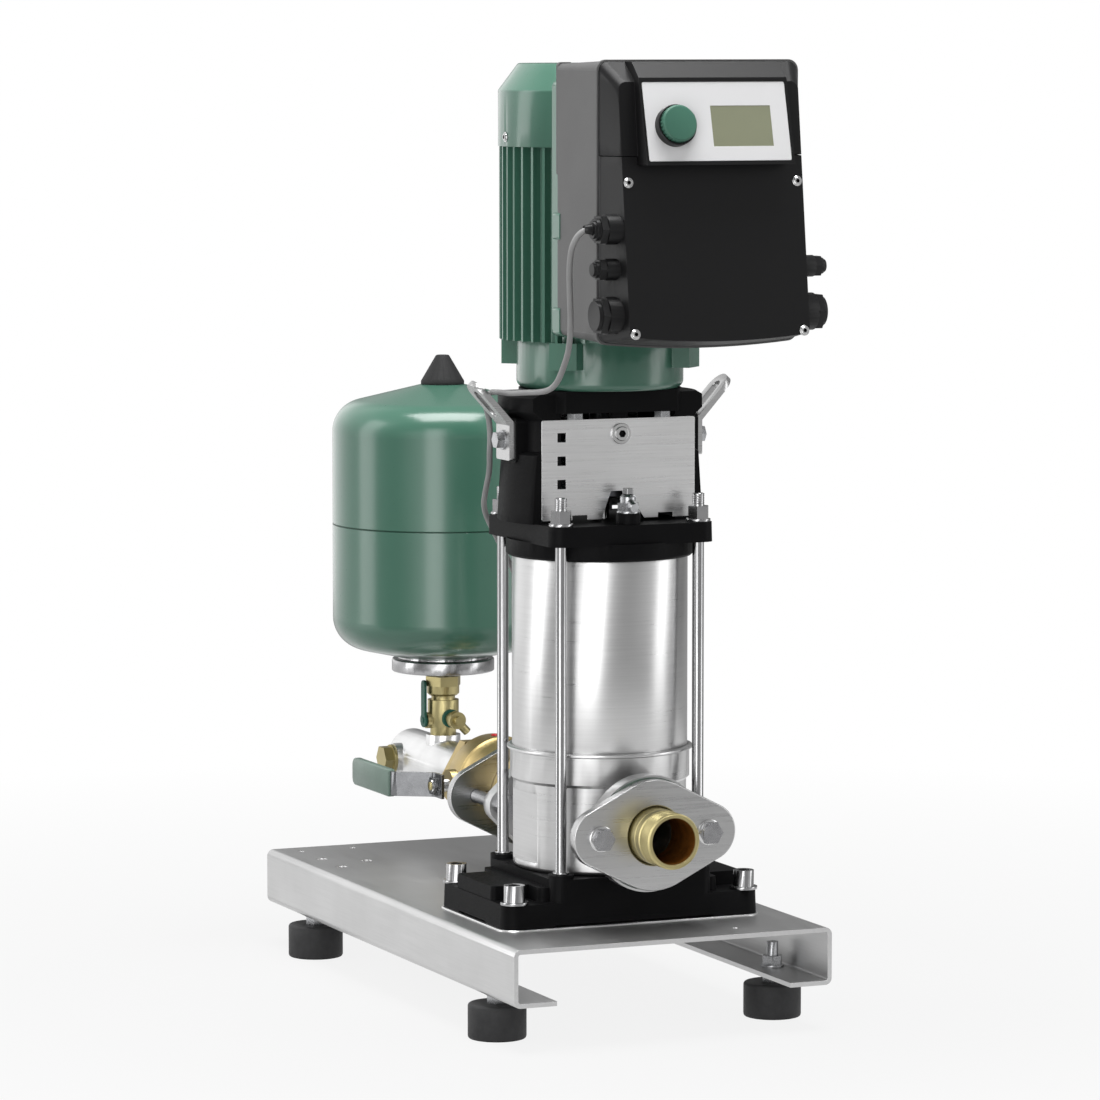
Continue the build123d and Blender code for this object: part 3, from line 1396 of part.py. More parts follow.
# Display module: the upper front with the leaning frame round the panel
knob_place = (-knob_shift, row_drop)
with BuildPart() as display_module:
    cover_form(0)
    cover_form(converter_wall, mode=Mode.SUBTRACT)
    block(
        level(cover_split), 3 * converter_width, 4 * converter_front, -converter_height, 0,
        mode=Mode.SUBTRACT,
    )
    module_form(0)
    block(panel_plane, panel_width + 0.4, panel_height + 0.4, -panel_thickness, 3, 2, mode=Mode.SUBTRACT)
    block(facing_front(-converter_front + 2, z=panel_level), panel_width - 8, panel_height - 20, -1, 20,
          mode=Mode.SUBTRACT)
    discs(panel_plane, [knob_place], (plunger_radius + running_gap, -40, 0), mode=Mode.SUBTRACT)
display_module.part.label = "display_module"
export_step(display_module.part, "parts/display_module.step")

# Display panel: the white plate with the window and the knob's hole
with BuildPart() as display_panel:
    with BuildSketch(panel_plane.offset(-panel_thickness)):
        RectangleRounded(panel_width, panel_height, 1.5)
        with Locations((window_shift, row_drop)):
            Rectangle(window_width, window_height_lcd, mode=Mode.SUBTRACT)
        with Locations(knob_place):
            Circle(plunger_radius + 1, mode=Mode.SUBTRACT)
    extrude(amount=panel_thickness)
display_panel.part.label = "display_panel"
export_step(display_panel.part, "parts/display_panel.step")

# Display window, flush in the panel
with BuildPart() as display_window:
    with BuildSketch(panel_plane.offset(-panel_thickness)):
        with Locations((window_shift, row_drop)):
            Rectangle(window_width, window_height_lcd)
    extrude(amount=panel_thickness - 0.3)
display_window.part.label = "display_window"
export_step(display_window.part, "parts/display_window.step")

# Encoder plunger: slides in the module when the knob is pressed
with BuildPart() as encoder_plunger:
    discs(panel_plane, [knob_place], (plunger_radius, -14, 0.5))
    discs(panel_plane, [knob_place], (spindle_radius + running_gap, -10, 0.5), mode=Mode.SUBTRACT)
encoder_plunger.part.label = "encoder_plunger"
export_step(encoder_plunger.part, "parts/encoder_plunger.step")

# Control knob: a fluted cap with its spindle in the plunger
with BuildPart() as control_knob:
    discs(panel_plane, [knob_place], (spindle_radius, -9.7, knob_lift + 1))
    discs(panel_plane, [knob_place], (knob_radius, knob_lift, knob_lift + knob_height))
    chamfer(control_knob.faces().sort_by(Axis(panel_plane.origin, panel_plane.z_dir))[-1].edges(), 1.5)
    with BuildSketch(panel_plane.offset(knob_lift)):
        with Locations(knob_place):
            with PolarLocations(knob_radius + 0.6, 30):
                Circle(1.2)
    extrude(amount=knob_height - 1.5, mode=Mode.SUBTRACT)
control_knob.part.label = "control_knob"
export_step(control_knob.part, "parts/control_knob.step")

# Cable glands: hexagon nuts with domes in the small entries, blanking plugs in the large ones
with BuildPart() as cable_glands:
    for side, height, radius in entries:
        entry = Plane((0, pump_y + gland_y, deck_z + height), x_dir=(0, side, 0), z_dir=(side, 0, 0))
        discs(entry, [(0, 0)], (radius * 0.55, boss_reach - 12, boss_reach))
        hexagons(entry, [(0, 0)], radius * 1.8, boss_reach, boss_reach + 6)
        if radius < 15:
            discs(entry, [(0, 0)], (radius * 0.75, boss_reach + 6, boss_reach + 9),
                  (radius * 0.6, boss_reach + 9, boss_reach + 11))
        else:
            discs(entry, [(0, 0)], (radius * 0.8, boss_reach + 6, boss_reach + 9))
cable_glands.part.label = "cable_glands"
export_step(cable_glands.part, "parts/cable_glands.step")

# Screws of the cover, the coupling guards and the fan cover
with BuildPart() as panel_screws:
    discs(cover_plane, screw_places, (4.3, -2.2, 1), (2.3, -8, -2.2))
    hexagons(cover_plane, screw_places, 3, -1.5, 1, mode=Mode.SUBTRACT)
    for plane in hood_planes:
        discs(plane, [(0, 0)], (2, -4, 0), (4, 0, 2))
        hexagons(plane, [(0, 0)], 2.5, 0.5, 2, mode=Mode.SUBTRACT)
    for side in (-1, 1):
        guard_screw = Plane(
            (-side * 2, pump_y + side * (guard_face + guard_sheet),
            deck_z + guard_z + guard_height / 2 - 13),
            x_dir=(-side, 0, 0), z_dir=(0, side, 0),
        )
        discs(guard_screw, [(0, 0)], (3, -guard_sheet, 0), (7, 0, 1), (5, 1, 5))
        hexagons(guard_screw, [(0, 0)], 5, 2, 5, mode=Mode.SUBTRACT)
panel_screws.part.label = "panel_screws"
export_step(panel_screws.part, "parts/panel_screws.step")

# Circuit board with its largest components
with BuildPart() as circuit_board:
    board = facing_front(-converter_back - 30, z=converter_mid)
    block(board, converter_width - 30, converter_height - 40, 0, 2)
    discs(board, [(-45, -60), (-10, -60), (25, -60)], (14, 2, 36))
    block(board.offset(2), 60, 50, 0, 14)
    for x in (-60, 60):
        for y in (-80, 80):
            discs(board, [(x, y)], (4, -27 + converter_wall - 3, 0))
circuit_board.part.label = "circuit_board"
export_step(circuit_board.part, "parts/circuit_board.step")


def cable_bends(route):
    """The largest arc at each corner of the route that its two runs allow."""
    points = [Vector(*place) for place in route]
    radii = []
    for before, corner, after in zip(points, points[1:], points[2:]):
        run_in = corner - before
        run_out = after - corner
        turn = radians(run_in.get_angle(run_out))
        radii.append(0.45 * min(run_in.length, run_out.length) / tan(turn / 2))
    return radii


# Sensor cable, from the upper left gland round the lantern and down to the pressure sensor
cable_points = [(x, pump_y + y, deck_z + z) for x, y, z in cable_route]
bends = cable_bends(cable_points)
print("cable radii", [round(r) for r in bends])
start = Vector(*cable_points[0])
heading = Vector(*cable_points[1]) - start
with BuildPart() as sensor_cable:
    with BuildLine() as cable_path:
        FilletPolyline(*cable_points, radius=bends)
    with BuildSketch(Plane(start, z_dir=heading)):
        Circle(cable_radius)
    sweep()
print("cable length", round(sum(edge.length for edge in cable_path.edges()), 1))
print("cable volume over section", round(sensor_cable.part.volume / (pi * cable_radius**2), 1))
sensor_cable.part.label = "sensor_cable"
export_step(sensor_cable.part, "parts/sensor_cable.step")
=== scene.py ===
import math

import bmesh
import bpy
from bpy.props import FloatProperty, FloatVectorProperty, PointerProperty
from mathutils import Matrix, Vector


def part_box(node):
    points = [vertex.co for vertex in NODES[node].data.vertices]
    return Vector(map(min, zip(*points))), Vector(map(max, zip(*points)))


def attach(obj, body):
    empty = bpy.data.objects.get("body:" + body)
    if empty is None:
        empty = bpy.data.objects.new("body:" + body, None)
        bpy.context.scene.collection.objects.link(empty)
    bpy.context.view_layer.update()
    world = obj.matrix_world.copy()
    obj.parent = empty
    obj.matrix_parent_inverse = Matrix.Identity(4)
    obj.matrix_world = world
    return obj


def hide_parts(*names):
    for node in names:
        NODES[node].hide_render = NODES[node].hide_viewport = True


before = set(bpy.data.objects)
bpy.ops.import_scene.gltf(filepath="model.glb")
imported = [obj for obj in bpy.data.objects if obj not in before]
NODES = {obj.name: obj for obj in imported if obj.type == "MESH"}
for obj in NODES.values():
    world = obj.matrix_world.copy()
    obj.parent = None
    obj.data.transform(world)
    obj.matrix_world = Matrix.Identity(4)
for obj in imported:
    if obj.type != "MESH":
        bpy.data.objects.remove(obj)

bl_info = {
    "name": "Booster pump set",
    "version": (1, 0, 0),
    "blender": (4, 5, 0),
    "location": "3D View > Sidebar > Pump set",
    "description": "Finishes, small details, light and camera of a booster pump set",
    "category": "Object",
}

# Places are counted in millimetres from the pump's axis on the deck: right, back, up
SLEEVE_LOW, SLEEVE_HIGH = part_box("outer_sleeve")
AXIS_Y = (SLEEVE_LOW.y + SLEEVE_HIGH.y) / 2
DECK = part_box("base_frame")[1].z
RIGHT, BACK, UP = Vector((1, 0, 0)), Vector((0, 1, 0)), Vector((0, 0, 1))

# The photograph's camera: its place, the way it looks, and its lens and sensor width
CAMERA_PLACE = (-1829.8, -4164.0, 759.4)
CAMERA_RIGHT = (0.91926, -0.39365, 0.0)
CAMERA_AHEAD = (0.39178, 0.91489, -0.09737)
CAMERA_LENS, CAMERA_SENSOR = 173.29, 36

# The room round the set, which only glossy surfaces see, so that its grey and white parts draw the
# metal's bright bands. Each table gives the brightness, where 1 is white, by the angle to the right
# of the camera in degrees, seen from the set. AMBIENT is the light that every surface gets.
VIEW_AZIMUTH = -23.18
AMBIENT = 0.26
WALLS = (
    (-180, 0.12), (-172, 0.3), (-163, 1.2), (-134, 1.35), (-117, 1.05), (-104, 0.9), (-92, 0.8),
    (-81, 0.7), (-71, 0.55), (-62, 0.4), (-53, 0.34), (-47, 0.5), (-38, 1.0), (-30, 1.4), (-8, 1.4),
    (-1, 0.9), (5, 0.6), (10, 0.5), (18, 0.44), (30, 0.42), (42, 0.5), (50, 0.62), (60, 0.62),
    (68, 0.7), (78, 0.8), (90, 0.8), (100, 0.6), (112, 0.35), (128, 0.2), (145, 0.4), (160, 0.4),
    (172, 0.18), (180, 0.12),
)
UPPER_WALLS = (
    (-180, 0.3), (-165, 0.34), (-145, 1.1), (-75, 1.1), (-52, 0.36), (60, 0.36), (80, 0.7),
    (100, 0.36), (180, 0.3),
)
# A cloth on the floor carries the lamps' light on below them, down to the foot of the sleeve
FLOOR_CLOTH = (
    (-180, 0.4), (-165, 0.4), (-150, 0.9), (-115, 0.9), (-99, 1.5), (-81, 1.5), (-74, 0.4),
    (-42, 0.4), (-30, 1.4), (-23, 2.6), (-3, 2.6), (4, 0.4), (68, 0.4), (73, 1.8), (87, 1.8),
    (92, 0.4), (180, 0.4),
)
CEILING = 0.36
# The room's outline from the cloth's inner edge to the middle of the ceiling: radius and height in
# metres, and the table that it takes its brightness from
ROOM = (
    (0.96, 0.01, "cloth"), (3.2, 0.01, "cloth"), (3.2, 0.02, "wall"), (3.2, 1.5, "wall"),
    (3.2, 2.2, "upper"), (3.2, 3.4, "upper"), (1.6, 3.6, "ceiling"), (0.02, 3.6, "ceiling"),
)
ROOM_STEP = 3
# The floor's half width and the distances from its middle where its paper turns white for the
# camera, in metres, and how white it is at the first
FLOOR_REACH = 12
FLOOR_WHITE = (0.45, 1.5)
FLOOR_NEAR = 0.86
# The place that the lamps point at in millimetres, and each lamp's angle and height in degrees, its
# distance, width and height in metres, and its brightness
LAMP_TARGET = (0, 60, 330)
LAMPS = (
    ("left_softbox", -90, 14, 2.2, (0.8, 2.2), 2.6),
    ("front_softbox", -12, 12, 1.6, (0.6, 1.5), 2.9),
    ("right_softbox", 80, 14, 2.2, (0.7, 2.2), 2.0),
    ("top_softbox", 8, 84, 2.2, (1.8, 1.3), 10.5),
)

# The sensor cable's route, the same places as in the solid model
CABLE_ROUTE = [
    (-0.105, -0.222, 0.600), (-0.113, -0.222, 0.600), (-0.120, -0.217, 0.588),
    (-0.119, -0.209, 0.572), (-0.115, -0.200, 0.553), (-0.108, -0.186, 0.532),
    (-0.102, -0.172, 0.513), (-0.096, -0.154, 0.496), (-0.091, -0.132, 0.482),
    (-0.086, -0.108, 0.468), (-0.084, -0.086, 0.460), (-0.086, -0.066, 0.457),
    (-0.089, -0.047, 0.456), (-0.094, -0.028, 0.454), (-0.0975, -0.008, 0.454),
    (-0.098, 0.012, 0.453), (-0.097, 0.026, 0.444), (-0.091, 0.030, 0.430),
    (-0.090, 0.029, 0.414), (-0.090, 0.031, 0.399), (-0.086, 0.040, 0.383),
    (-0.081, 0.062, 0.364), (-0.074, 0.085, 0.345), (-0.055, 0.098, 0.318),
    (-0.036, 0.109, 0.290), (-0.018, 0.119, 0.262), (-0.005, 0.128, 0.238),
    (0.0, 0.130, 0.226), (0.0, 0.130, 0.213),
]

# Where the solid model puts what the small pieces sit on, and their sizes, in millimetres. The
# cover's screws look along COVER_FACING, and the knob's axis leans up by KNOB_LEAN
FOOT_CORNER = 15
ROD_OFFSET = 64
ROD_THREAD_RADIUS, ROD_THREAD_LENGTH, ROD_THREAD_DEPTH = 5.25, 10, 0.35
FLANGE_BOLT_X, FLANGE_FACE_Y, PIPE_HEIGHT = 50, -118, 82
NIPPLE_WALL, NIPPLE_THREAD, NIPPLE_THREAD_DEPTH = 4.4, (1.2, 17.2), 0.55
VALVE_BACK, VALVE_TOP = 232, 124.6
DRAIN_PLACE = (0, 344.5, 127)
SEAM_HEIGHT, SEAM_HALF = 307.6, 0.6
COVER_SCREW_X, COVER_SCREW_ROWS = 76, ((-230.346, 637.537), (-245.438, 515.063))
COVER_FACING = Vector((0, -0.99249, 0.1223))
FAN_SCREW_RADIUS, FAN_SCREW_HEIGHT = 87.5, 670.5
GUARD_SCREW_PLACE = (-2, 40.2, 418)
KNOB_PLACE, KNOB_LEAN = (-39, -238.19, 682.9), math.radians(14.3)
# Each screw's head radius, head height, key radius, washer radius and washer thickness
COVER_SCREW = (3.3, 2.5, 1.5, 4.3, 1.7)
FAN_SCREW = (3.2, 2.0, 1.6, 4.4, 0.8)
GUARD_SCREW = (6.2, 3.4, 3.1, 9, 2.0)

# Points this near, in metres, and faces this flat are one, and an edge this sharp gets rounded
WELD_WITHIN, FLAT_WITHIN, ROUND_ABOVE = 0.000002, math.radians(0.15), math.radians(32)
# Shading stays smooth over an edge up to this angle
SMOOTH_BELOW = math.radians(38)


def place(x, y, z):
    """The row-frame place, in metres, of a place in millimetres."""
    return Vector((x / 1000, AXIS_Y + y / 1000, DECK + z / 1000))


def linear(code):
    """The linear colour of an sRGB hex value."""
    channels = [int(code[i:i + 2], 16) / 255 for i in (1, 3, 5)]
    return tuple(c / 12.92 if c <= 0.04045 else ((c + 0.055) / 1.055) ** 2.4 for c in channels)


def tone(colour, factor):
    """A colour made darker or lighter, with the alpha that a socket needs."""
    return (*(min(1.0, channel * factor) for channel in colour), 1.0)


def add(tree, kind, sockets=None, **settings):
    """Adds a shader node, sets what it is, and fills or links its sockets.

    Sockets go by name or number: a MapRange's 0 to 4 are its value, the range that it comes from
    and the one that it goes to, and a colour Mix's 0, 6 and 7 are its factor and two colours.
    """
    node = tree.nodes.new("ShaderNode" + kind)
    for setting, value in settings.items():
        setattr(node, setting, value)
    for socket, value in (sockets or {}).items():
        if isinstance(value, bpy.types.NodeSocket):
            tree.links.new(value, node.inputs[socket])
        else:
            node.inputs[socket].default_value = value
    return node


def bare_tree(owner):
    """The shader tree of a material or a world, emptied."""
    owner.use_nodes = True
    owner.node_tree.nodes.clear()
    return owner.node_tree


def surface(name, colour, drift, patch, rough, spread, grain, depth, stretch=(1, 1, 1), streak=0.0,
            tangent=None, **shader):
    """A finish with patches of colour, a grain that changes the gloss, and the grain's relief.

    drift is how far the colour goes up and down, and spread how far the roughness does. patch and
    grain are sizes in millimetres, depth is the relief's height in millimetres, stretch multiplies
    the grain's frequency along each axis, and streak is how much it darkens the colour. Most of a
    noise's values lie between 0.3 and 0.7.
    """
    material = bpy.data.materials.new(name)
    tree = bare_tree(material)
    where = add(tree, "TexCoord").outputs["Object"]
    mm = add(tree, "VectorMath", {0: where, 1: (1000, 1000, 1000)}, operation="MULTIPLY").outputs[0]
    along = add(tree, "VectorMath", {0: mm, 1: stretch}, operation="MULTIPLY").outputs[0]
    cloud = add(tree, "TexNoise", {"Vector": mm, "Scale": 1 / patch, "Detail": 3.0}).outputs["Fac"]
    lines = add(
        tree, "TexNoise", {"Vector": along, "Scale": 1 / grain, "Detail": 4.0, "Roughness": 0.6},
    ).outputs["Fac"]
    paint = add(
        tree, "Mix",
        {
            0: add(tree, "MapRange", {0: cloud, 1: 0.35, 2: 0.65}).outputs[0],
            6: tone(colour, 1 - drift), 7: tone(colour, 1 + drift),
        },
        data_type="RGBA",
    ).outputs[2]
    if streak:
        shade = add(tree, "MapRange", {0: lines, 1: 0.35, 2: 0.6, 3: streak, 4: 0.0}).outputs[0]
        paint = add(
            tree, "Mix", {0: shade, 6: paint, 7: tone(colour, 0.35)}, data_type="RGBA",
        ).outputs[2]
    gloss = add(
        tree, "MapRange", {0: lines, 1: 0.3, 2: 0.7, 3: rough - spread, 4: rough + spread},
    ).outputs[0]
    sockets = {
        "Base Color": paint,
        "Roughness": gloss,
        "Normal": add(
            tree, "Bump", {"Height": lines, "Distance": depth / 1000, "Strength": 1.0},
        ).outputs[0],
        **{socket.replace("_", " "): value for socket, value in shader.items()},
    }
    if tangent:
        sockets["Tangent"] = add(tree, "Tangent", direction_type="RADIAL", axis=tangent).outputs[0]
    body = add(tree, "BsdfPrincipled", sockets)
    add(tree, "OutputMaterial", {"Surface": body.outputs[0]})
    return material


# The real grain sizes given below are typical ones, not measured, and the drawn ones were tuned.
# A pixel of the product view covers 0.9 mm, so a grain drawn finer shows only from nearer.


def brushed_sheet(name, colour, stretch, rough=0.3):
    """Stainless steel sheet, cold rolled and belt brushed: fine bright lines along one direction.

    The belt's grit leaves lines 0.1 mm wide, drawn at 1.5 mm so that they show.
    """
    return surface(
        name, colour, drift=0.03, patch=70, rough=rough, spread=0.05, grain=1.5, depth=0.006,
        stretch=stretch, streak=0.1, Metallic=1.0,
    )


def drawn_steel(name, colour):
    """Stainless steel tube, drawn and brushed as it turned: faint streaks round it, and soft bright
    bands up and down, because the brushing spreads each reflection along the axis.

    The lines are 0.1 mm wide, drawn at 1.8 mm so that they show.
    """
    return surface(
        name, colour, drift=0.02, patch=60, rough=0.31, spread=0.04, grain=1.8, depth=0.004,
        stretch=(0.02, 0.02, 1), streak=0.09, tangent="Z", Metallic=1.0, Anisotropic=0.25,
        Anisotropic_Rotation=0.25,
    )


def turned_steel(name, colour):
    """Stainless steel bar, turned and passivated: bright and clean with faint tool marks.

    The tool's feed is 0.15 mm a turn, drawn at 0.2 mm along the bar.
    """
    return surface(
        name, colour, drift=0.04, patch=12, rough=0.2, spread=0.05, grain=0.4, depth=0.006,
        stretch=(0.3, 0.3, 2), Metallic=1.0,
    )


def plated_steel(name, colour):
    """Steel with bright zinc plating: a little milky, warmer where the passivation is thicker.

    Its crystals are 0.05 mm, drawn at 0.6 mm.
    """
    return surface(
        name, colour, drift=0.1, patch=9, rough=0.27, spread=0.06, grain=0.6, depth=0.006,
        Metallic=1.0,
    )


def painted_casting(name, colour):
    """Cast iron under cathodic dip paint: semi-matt black over the fine relief of the sand.

    The sand's grains are 0.3 mm, and the paint rounds them into bumps of 1.4 mm.
    """
    return surface(
        name, colour, drift=0.12, patch=30, rough=0.5, spread=0.08, grain=1.4, depth=0.06,
        Specular_IOR_Level=0.06,
    )


def machined_brass(name, colour):
    """Brass, turned from bar and blasted: pale yellow, satin, with fine tool marks.

    The blasting's pits are 0.1 mm, drawn at 0.35 mm.
    """
    return surface(
        name, colour, drift=0.05, patch=14, rough=0.4, spread=0.06, grain=0.35, depth=0.008,
        Metallic=1.0,
    )


def green_coat(name, colour, grain, depth, rough):
    """Baked enamel on sheet or casting: an even colour, a clear gloss and a faint orange peel.

    The orange peel is as wide as the real one, about 2 mm on sheet and 1 mm on a casting.
    """
    return surface(
        name, colour, drift=0.025, patch=80, rough=rough, spread=0.03, grain=grain, depth=depth,
        Specular_IOR_Level=0.12, Coat_Weight=1.0, Coat_Roughness=0.2,
    )


def moulded_plastic(name, colour, rough, grain=0.5, depth=0.02):
    """Injection moulded plastic from a spark-eroded tool: an even fine grain.

    The tool's pits are 0.1 mm, drawn at 0.5 mm or what grain says.
    """
    return surface(
        name, colour, drift=0.04, patch=50, rough=rough, spread=0.05, grain=grain, depth=depth,
        Specular_IOR_Level=0.22,
    )


def moulded_rubber(name, colour, rough=0.62):
    """Moulded rubber: dull, with a bloom that greys it in patches.

    Its grain is 0.1 mm, drawn at 0.8 mm.
    """
    return surface(
        name, colour, drift=0.16, patch=10, rough=rough, spread=0.07, grain=0.8, depth=0.03,
        Specular_IOR_Level=0.35,
    )


def finish(kind):
    """The named finish, made once from the colours that the user set."""
    if kind in bpy.data.materials:
        return bpy.data.materials[kind]
    colours = bpy.context.scene.pump_colours
    steel, brass = tuple(colours.steel), tuple(colours.brass)
    makers = {
        # Stainless sheet, brushed from front to back: the deck is the dullest of the sheets
        "brushed_sheet_deck": lambda: brushed_sheet(kind, steel, (1, 0.02, 1), 0.4),
        # Stainless sheet, bright rolled and brushed across: the guard plates are nearly white
        "bright_sheet": lambda: brushed_sheet(kind, linear("#E6E6E6"), (0.02, 1, 1)),
        # Stainless plate, cut and brushed: the oval flanges and lifting eyes are plain grey
        "flange_sheet": lambda: brushed_sheet(kind, linear("#BDBDBD"), (0.02, 1, 1)),
        # Stainless bar, cold drawn: the rods are bright down the middle and dark at both sides
        "rod_steel": lambda: turned_steel(kind, linear("#A8A8A9")),
        # Steel strip, stamped: the ball valve's lever is a soft dark grey, painted shade on the
        # steel
        "stamped_steel": lambda: plated_steel(kind, linear("#7C7D7F")),
        # Stainless sheet, cut and ground: a thin bright line round the pump's black foot.
        # The grinding is 0.1 mm wide, drawn at 0.5 mm
        "plinth_rim": lambda: surface(
            kind, linear("#E0E0E0"), drift=0.03, patch=40, rough=0.3, spread=0.05, grain=0.5,
            depth=0.004, Metallic=1.0),
        "drawn_steel": lambda: drawn_steel(kind, steel),
        # Stainless pipe, drawn, pickled: soft lines along it and a near-white that is painted
        # sheen.
        # The die's lines are 0.1 mm wide, drawn at 0.3 mm
        "drawn_steel_pipe": lambda: surface(
            kind, linear("#E0E0E0"), drift=0.04, patch=25, rough=0.34, spread=0.06, grain=0.5,
            depth=0.006, stretch=(1.5, 0.03, 1.5), Metallic=1.0),
        "turned_steel": lambda: turned_steel(kind, steel),
        "zinc_plating": lambda: plated_steel(kind, linear("#A9AAAC")),
        # Zinc plating with a film of oil: the flanges' bolts are a shade darker than the studs
        "dark_plating": lambda: plated_steel(kind, linear("#A4A4A6")),
        # Painted shade: near-black steel in each screw's socket, so that it looks like a dark hole
        "oiled_steel": lambda: plated_steel(kind, linear("#1C1C1D")),
        "painted_iron": lambda: painted_casting(kind, tuple(colours.casting)),
        "machined_brass": lambda: machined_brass(kind, brass),
        # Brass, hot forged and tumbled: browner than the turned brass, with broad soft highlights
        # over a skin of 1.2 mm ripples, as drawn
        "forged_brass": lambda: surface(
            kind, linear("#AE9B6C"), drift=0.07, patch=18, rough=0.38, spread=0.06, grain=1.2,
            depth=0.02, Metallic=1.0),
        # Brass, bored and left to oxidise: the inside of the nipple goes dull and brown, with
        # stains 0.8 mm wide, as drawn
        "oxidised_brass": lambda: surface(
            kind, linear("#9A6A32"), drift=0.2, patch=9, rough=0.5, spread=0.08, grain=0.8,
            depth=0.02, Metallic=1.0),
        # Enamel on pressed sheet: the tank and the fan cover are the smoothest and shine most
        "green_enamel": lambda: green_coat(kind, tuple(colours.paint), 2.2, 0.006, 0.3),
        # Enamel on cast aluminium: the motor is the same green, its gloss broken by the casting
        "green_cast_enamel": lambda: green_coat(kind, tuple(colours.paint), 1.1, 0.02, 0.36),
        # Nylon, moulded: the control knob is a satin green
        "green_nylon": lambda: moulded_plastic(kind, tuple(colours.knob), 0.4),
        # Nylon, moulded: the tank valve's handle and ring are darker than the knob
        "handle_nylon": lambda: moulded_plastic(kind, linear("#2E5E50"), 0.4),
        # Lacquer, run into the joint of the tank's halves: a thin dark green line
        "seam_lacquer": lambda: moulded_plastic(kind, linear("#1B3A2E"), 0.4),
        # Polythene, moulded: a small bright red dot on top of the ball valve
        "red_cap": lambda: moulded_plastic(kind, linear("#B3282D"), 0.4),
        # Aluminium, die cast and powder coated: a dry mid grey, with the powder's 0.7 mm texture
        "grey_die_casting": lambda: moulded_plastic(kind, tuple(colours.casing), 0.5, 0.7, 0.03),
        # Polyamide with glass fibre, moulded: an even black whose edges catch a grey line
        "black_moulding": lambda: moulded_plastic(kind, tuple(colours.cover), 0.42, 0.5, 0.03),
        # Polyamide, moulded smooth: the glands and the knob's shade ring have small sharp
        # highlights
        "gland_nylon": lambda: moulded_plastic(kind, linear("#161617"), 0.36, 0.6, 0.015),
        # Polyester film, printed on its back: an even white with a silky sheen.
        # Its embossing is 0.1 mm, drawn at 0.4 mm
        "panel_film": lambda: surface(
            kind, tuple(colours.panel), drift=0.01, patch=40, rough=0.38, spread=0.03, grain=0.4,
            depth=0.004, Specular_IOR_Level=0.4),
        # Acrylic over a switched-off liquid crystal: flat olive grey under a clear gloss, with
        # cells of 0.5 mm, as drawn
        "display_glass": lambda: surface(
            kind, tuple(colours.window), drift=0.02, patch=25, rough=0.2, spread=0.02, grain=0.5,
            depth=0.002, Coat_Weight=0.6, Coat_Roughness=0.06),
        "foot_rubber": lambda: moulded_rubber(kind, tuple(colours.rubber)),
        # Soft rubber, moulded: the tank's cap is black and has no highlight
        "cap_rubber": lambda: moulded_rubber(kind, linear("#1B1B1C"), 0.7),
        # Butyl rubber, moulded: the tank's membrane is a brownish grey
        "membrane_rubber": lambda: moulded_rubber(kind, linear("#3A3735"), 0.55),
        # Vinyl, hot dipped: a thick soft skin, a little glossy, with 1.5 mm ripples as drawn
        "dipped_vinyl": lambda: surface(
            kind, tuple(colours.grip), drift=0.05, patch=14, rough=0.42, spread=0.05, grain=1.5,
            depth=0.02, Coat_Weight=0.2),
        # Soft vinyl, extruded: an even light grey with a dull gloss.
        # Its skin's grain is 0.1 mm, drawn at 0.6 mm
        "cable_sheath": lambda: surface(
            kind, tuple(colours.cable), drift=0.05, patch=20, rough=0.5, spread=0.05, grain=0.6,
            depth=0.01, Specular_IOR_Level=0.4),
        # Fibre sheet, punched: greenish grey, dull and flecked.
        # Its fibres are 0.1 mm thick, drawn at 0.5 mm
        "fibre_gasket": lambda: surface(
            kind, linear("#4E5F55"), drift=0.14, patch=3, rough=0.75, spread=0.08, grain=0.5,
            depth=0.02, Specular_IOR_Level=0.3),
        # Copper wire, lacquered and wound: warm brown ribs, about as wide as the 0.9 mm wire
        "lacquered_copper": lambda: surface(
            kind, linear("#B5683C"), drift=0.12, patch=3, rough=0.3, spread=0.08, grain=0.9,
            depth=0.08, stretch=(1, 1, 0.1), Metallic=1.0),
        # Steel sheets, stacked and pressed: thin dark rings, about as thick as the 0.5 mm sheets
        "stacked_sheets": lambda: surface(
            kind, linear("#7B7C80"), drift=0.1, patch=8, rough=0.4, spread=0.08, grain=0.5,
            depth=0.05, stretch=(0.02, 0.02, 1), Metallic=1.0),
        # Glass fibre board under solder mask: glossy green over tracks 0.8 mm wide
        "solder_mask": lambda: surface(
            kind, linear("#1F5A36"), drift=0.12, patch=4, rough=0.3, spread=0.06, grain=0.8,
            depth=0.02, stretch=(1, 1, 0.2), Coat_Weight=0.3),
        # Silicon carbide, sintered and lapped: smooth dark grey, its 0.05 mm grain drawn at 0.4 mm
        "ceramic_ring": lambda: surface(
            kind, linear("#3C3C40"), drift=0.08, patch=4, rough=0.3, spread=0.05, grain=0.4,
            depth=0.004),
    }
    return makers[kind]()


def dress(names, kind, edge=None):
    """Gives CAD nodes a finish and rounds their sharp edges, as the user set or by edge."""
    if edge is None:
        edge = bpy.context.scene.pump_sizes.edge
    for name in names.split():
        node = NODES[name]
        for material_slot in node.material_slots:
            material_slot.link = "OBJECT"
            material_slot.material = finish(kind)
        if edge:
            weld = node.modifiers.new("weld", "WELD")
            weld.merge_threshold = WELD_WITHIN
            faces = node.modifiers.new("whole faces", "DECIMATE")
            faces.decimate_type = "DISSOLVE"
            faces.angle_limit = FLAT_WITHIN
            rounding = node.modifiers.new("edge rounding", "BEVEL")
            rounding.width = edge
            rounding.segments = 2
            rounding.limit_method = "ANGLE"
            rounding.angle_limit = ROUND_ABOVE
            rounding.harden_normals = True


def placed(name, data):
    """A new object in the scene."""
    made = bpy.data.objects.new(name, data)
    bpy.context.scene.collection.objects.link(made)
    return made


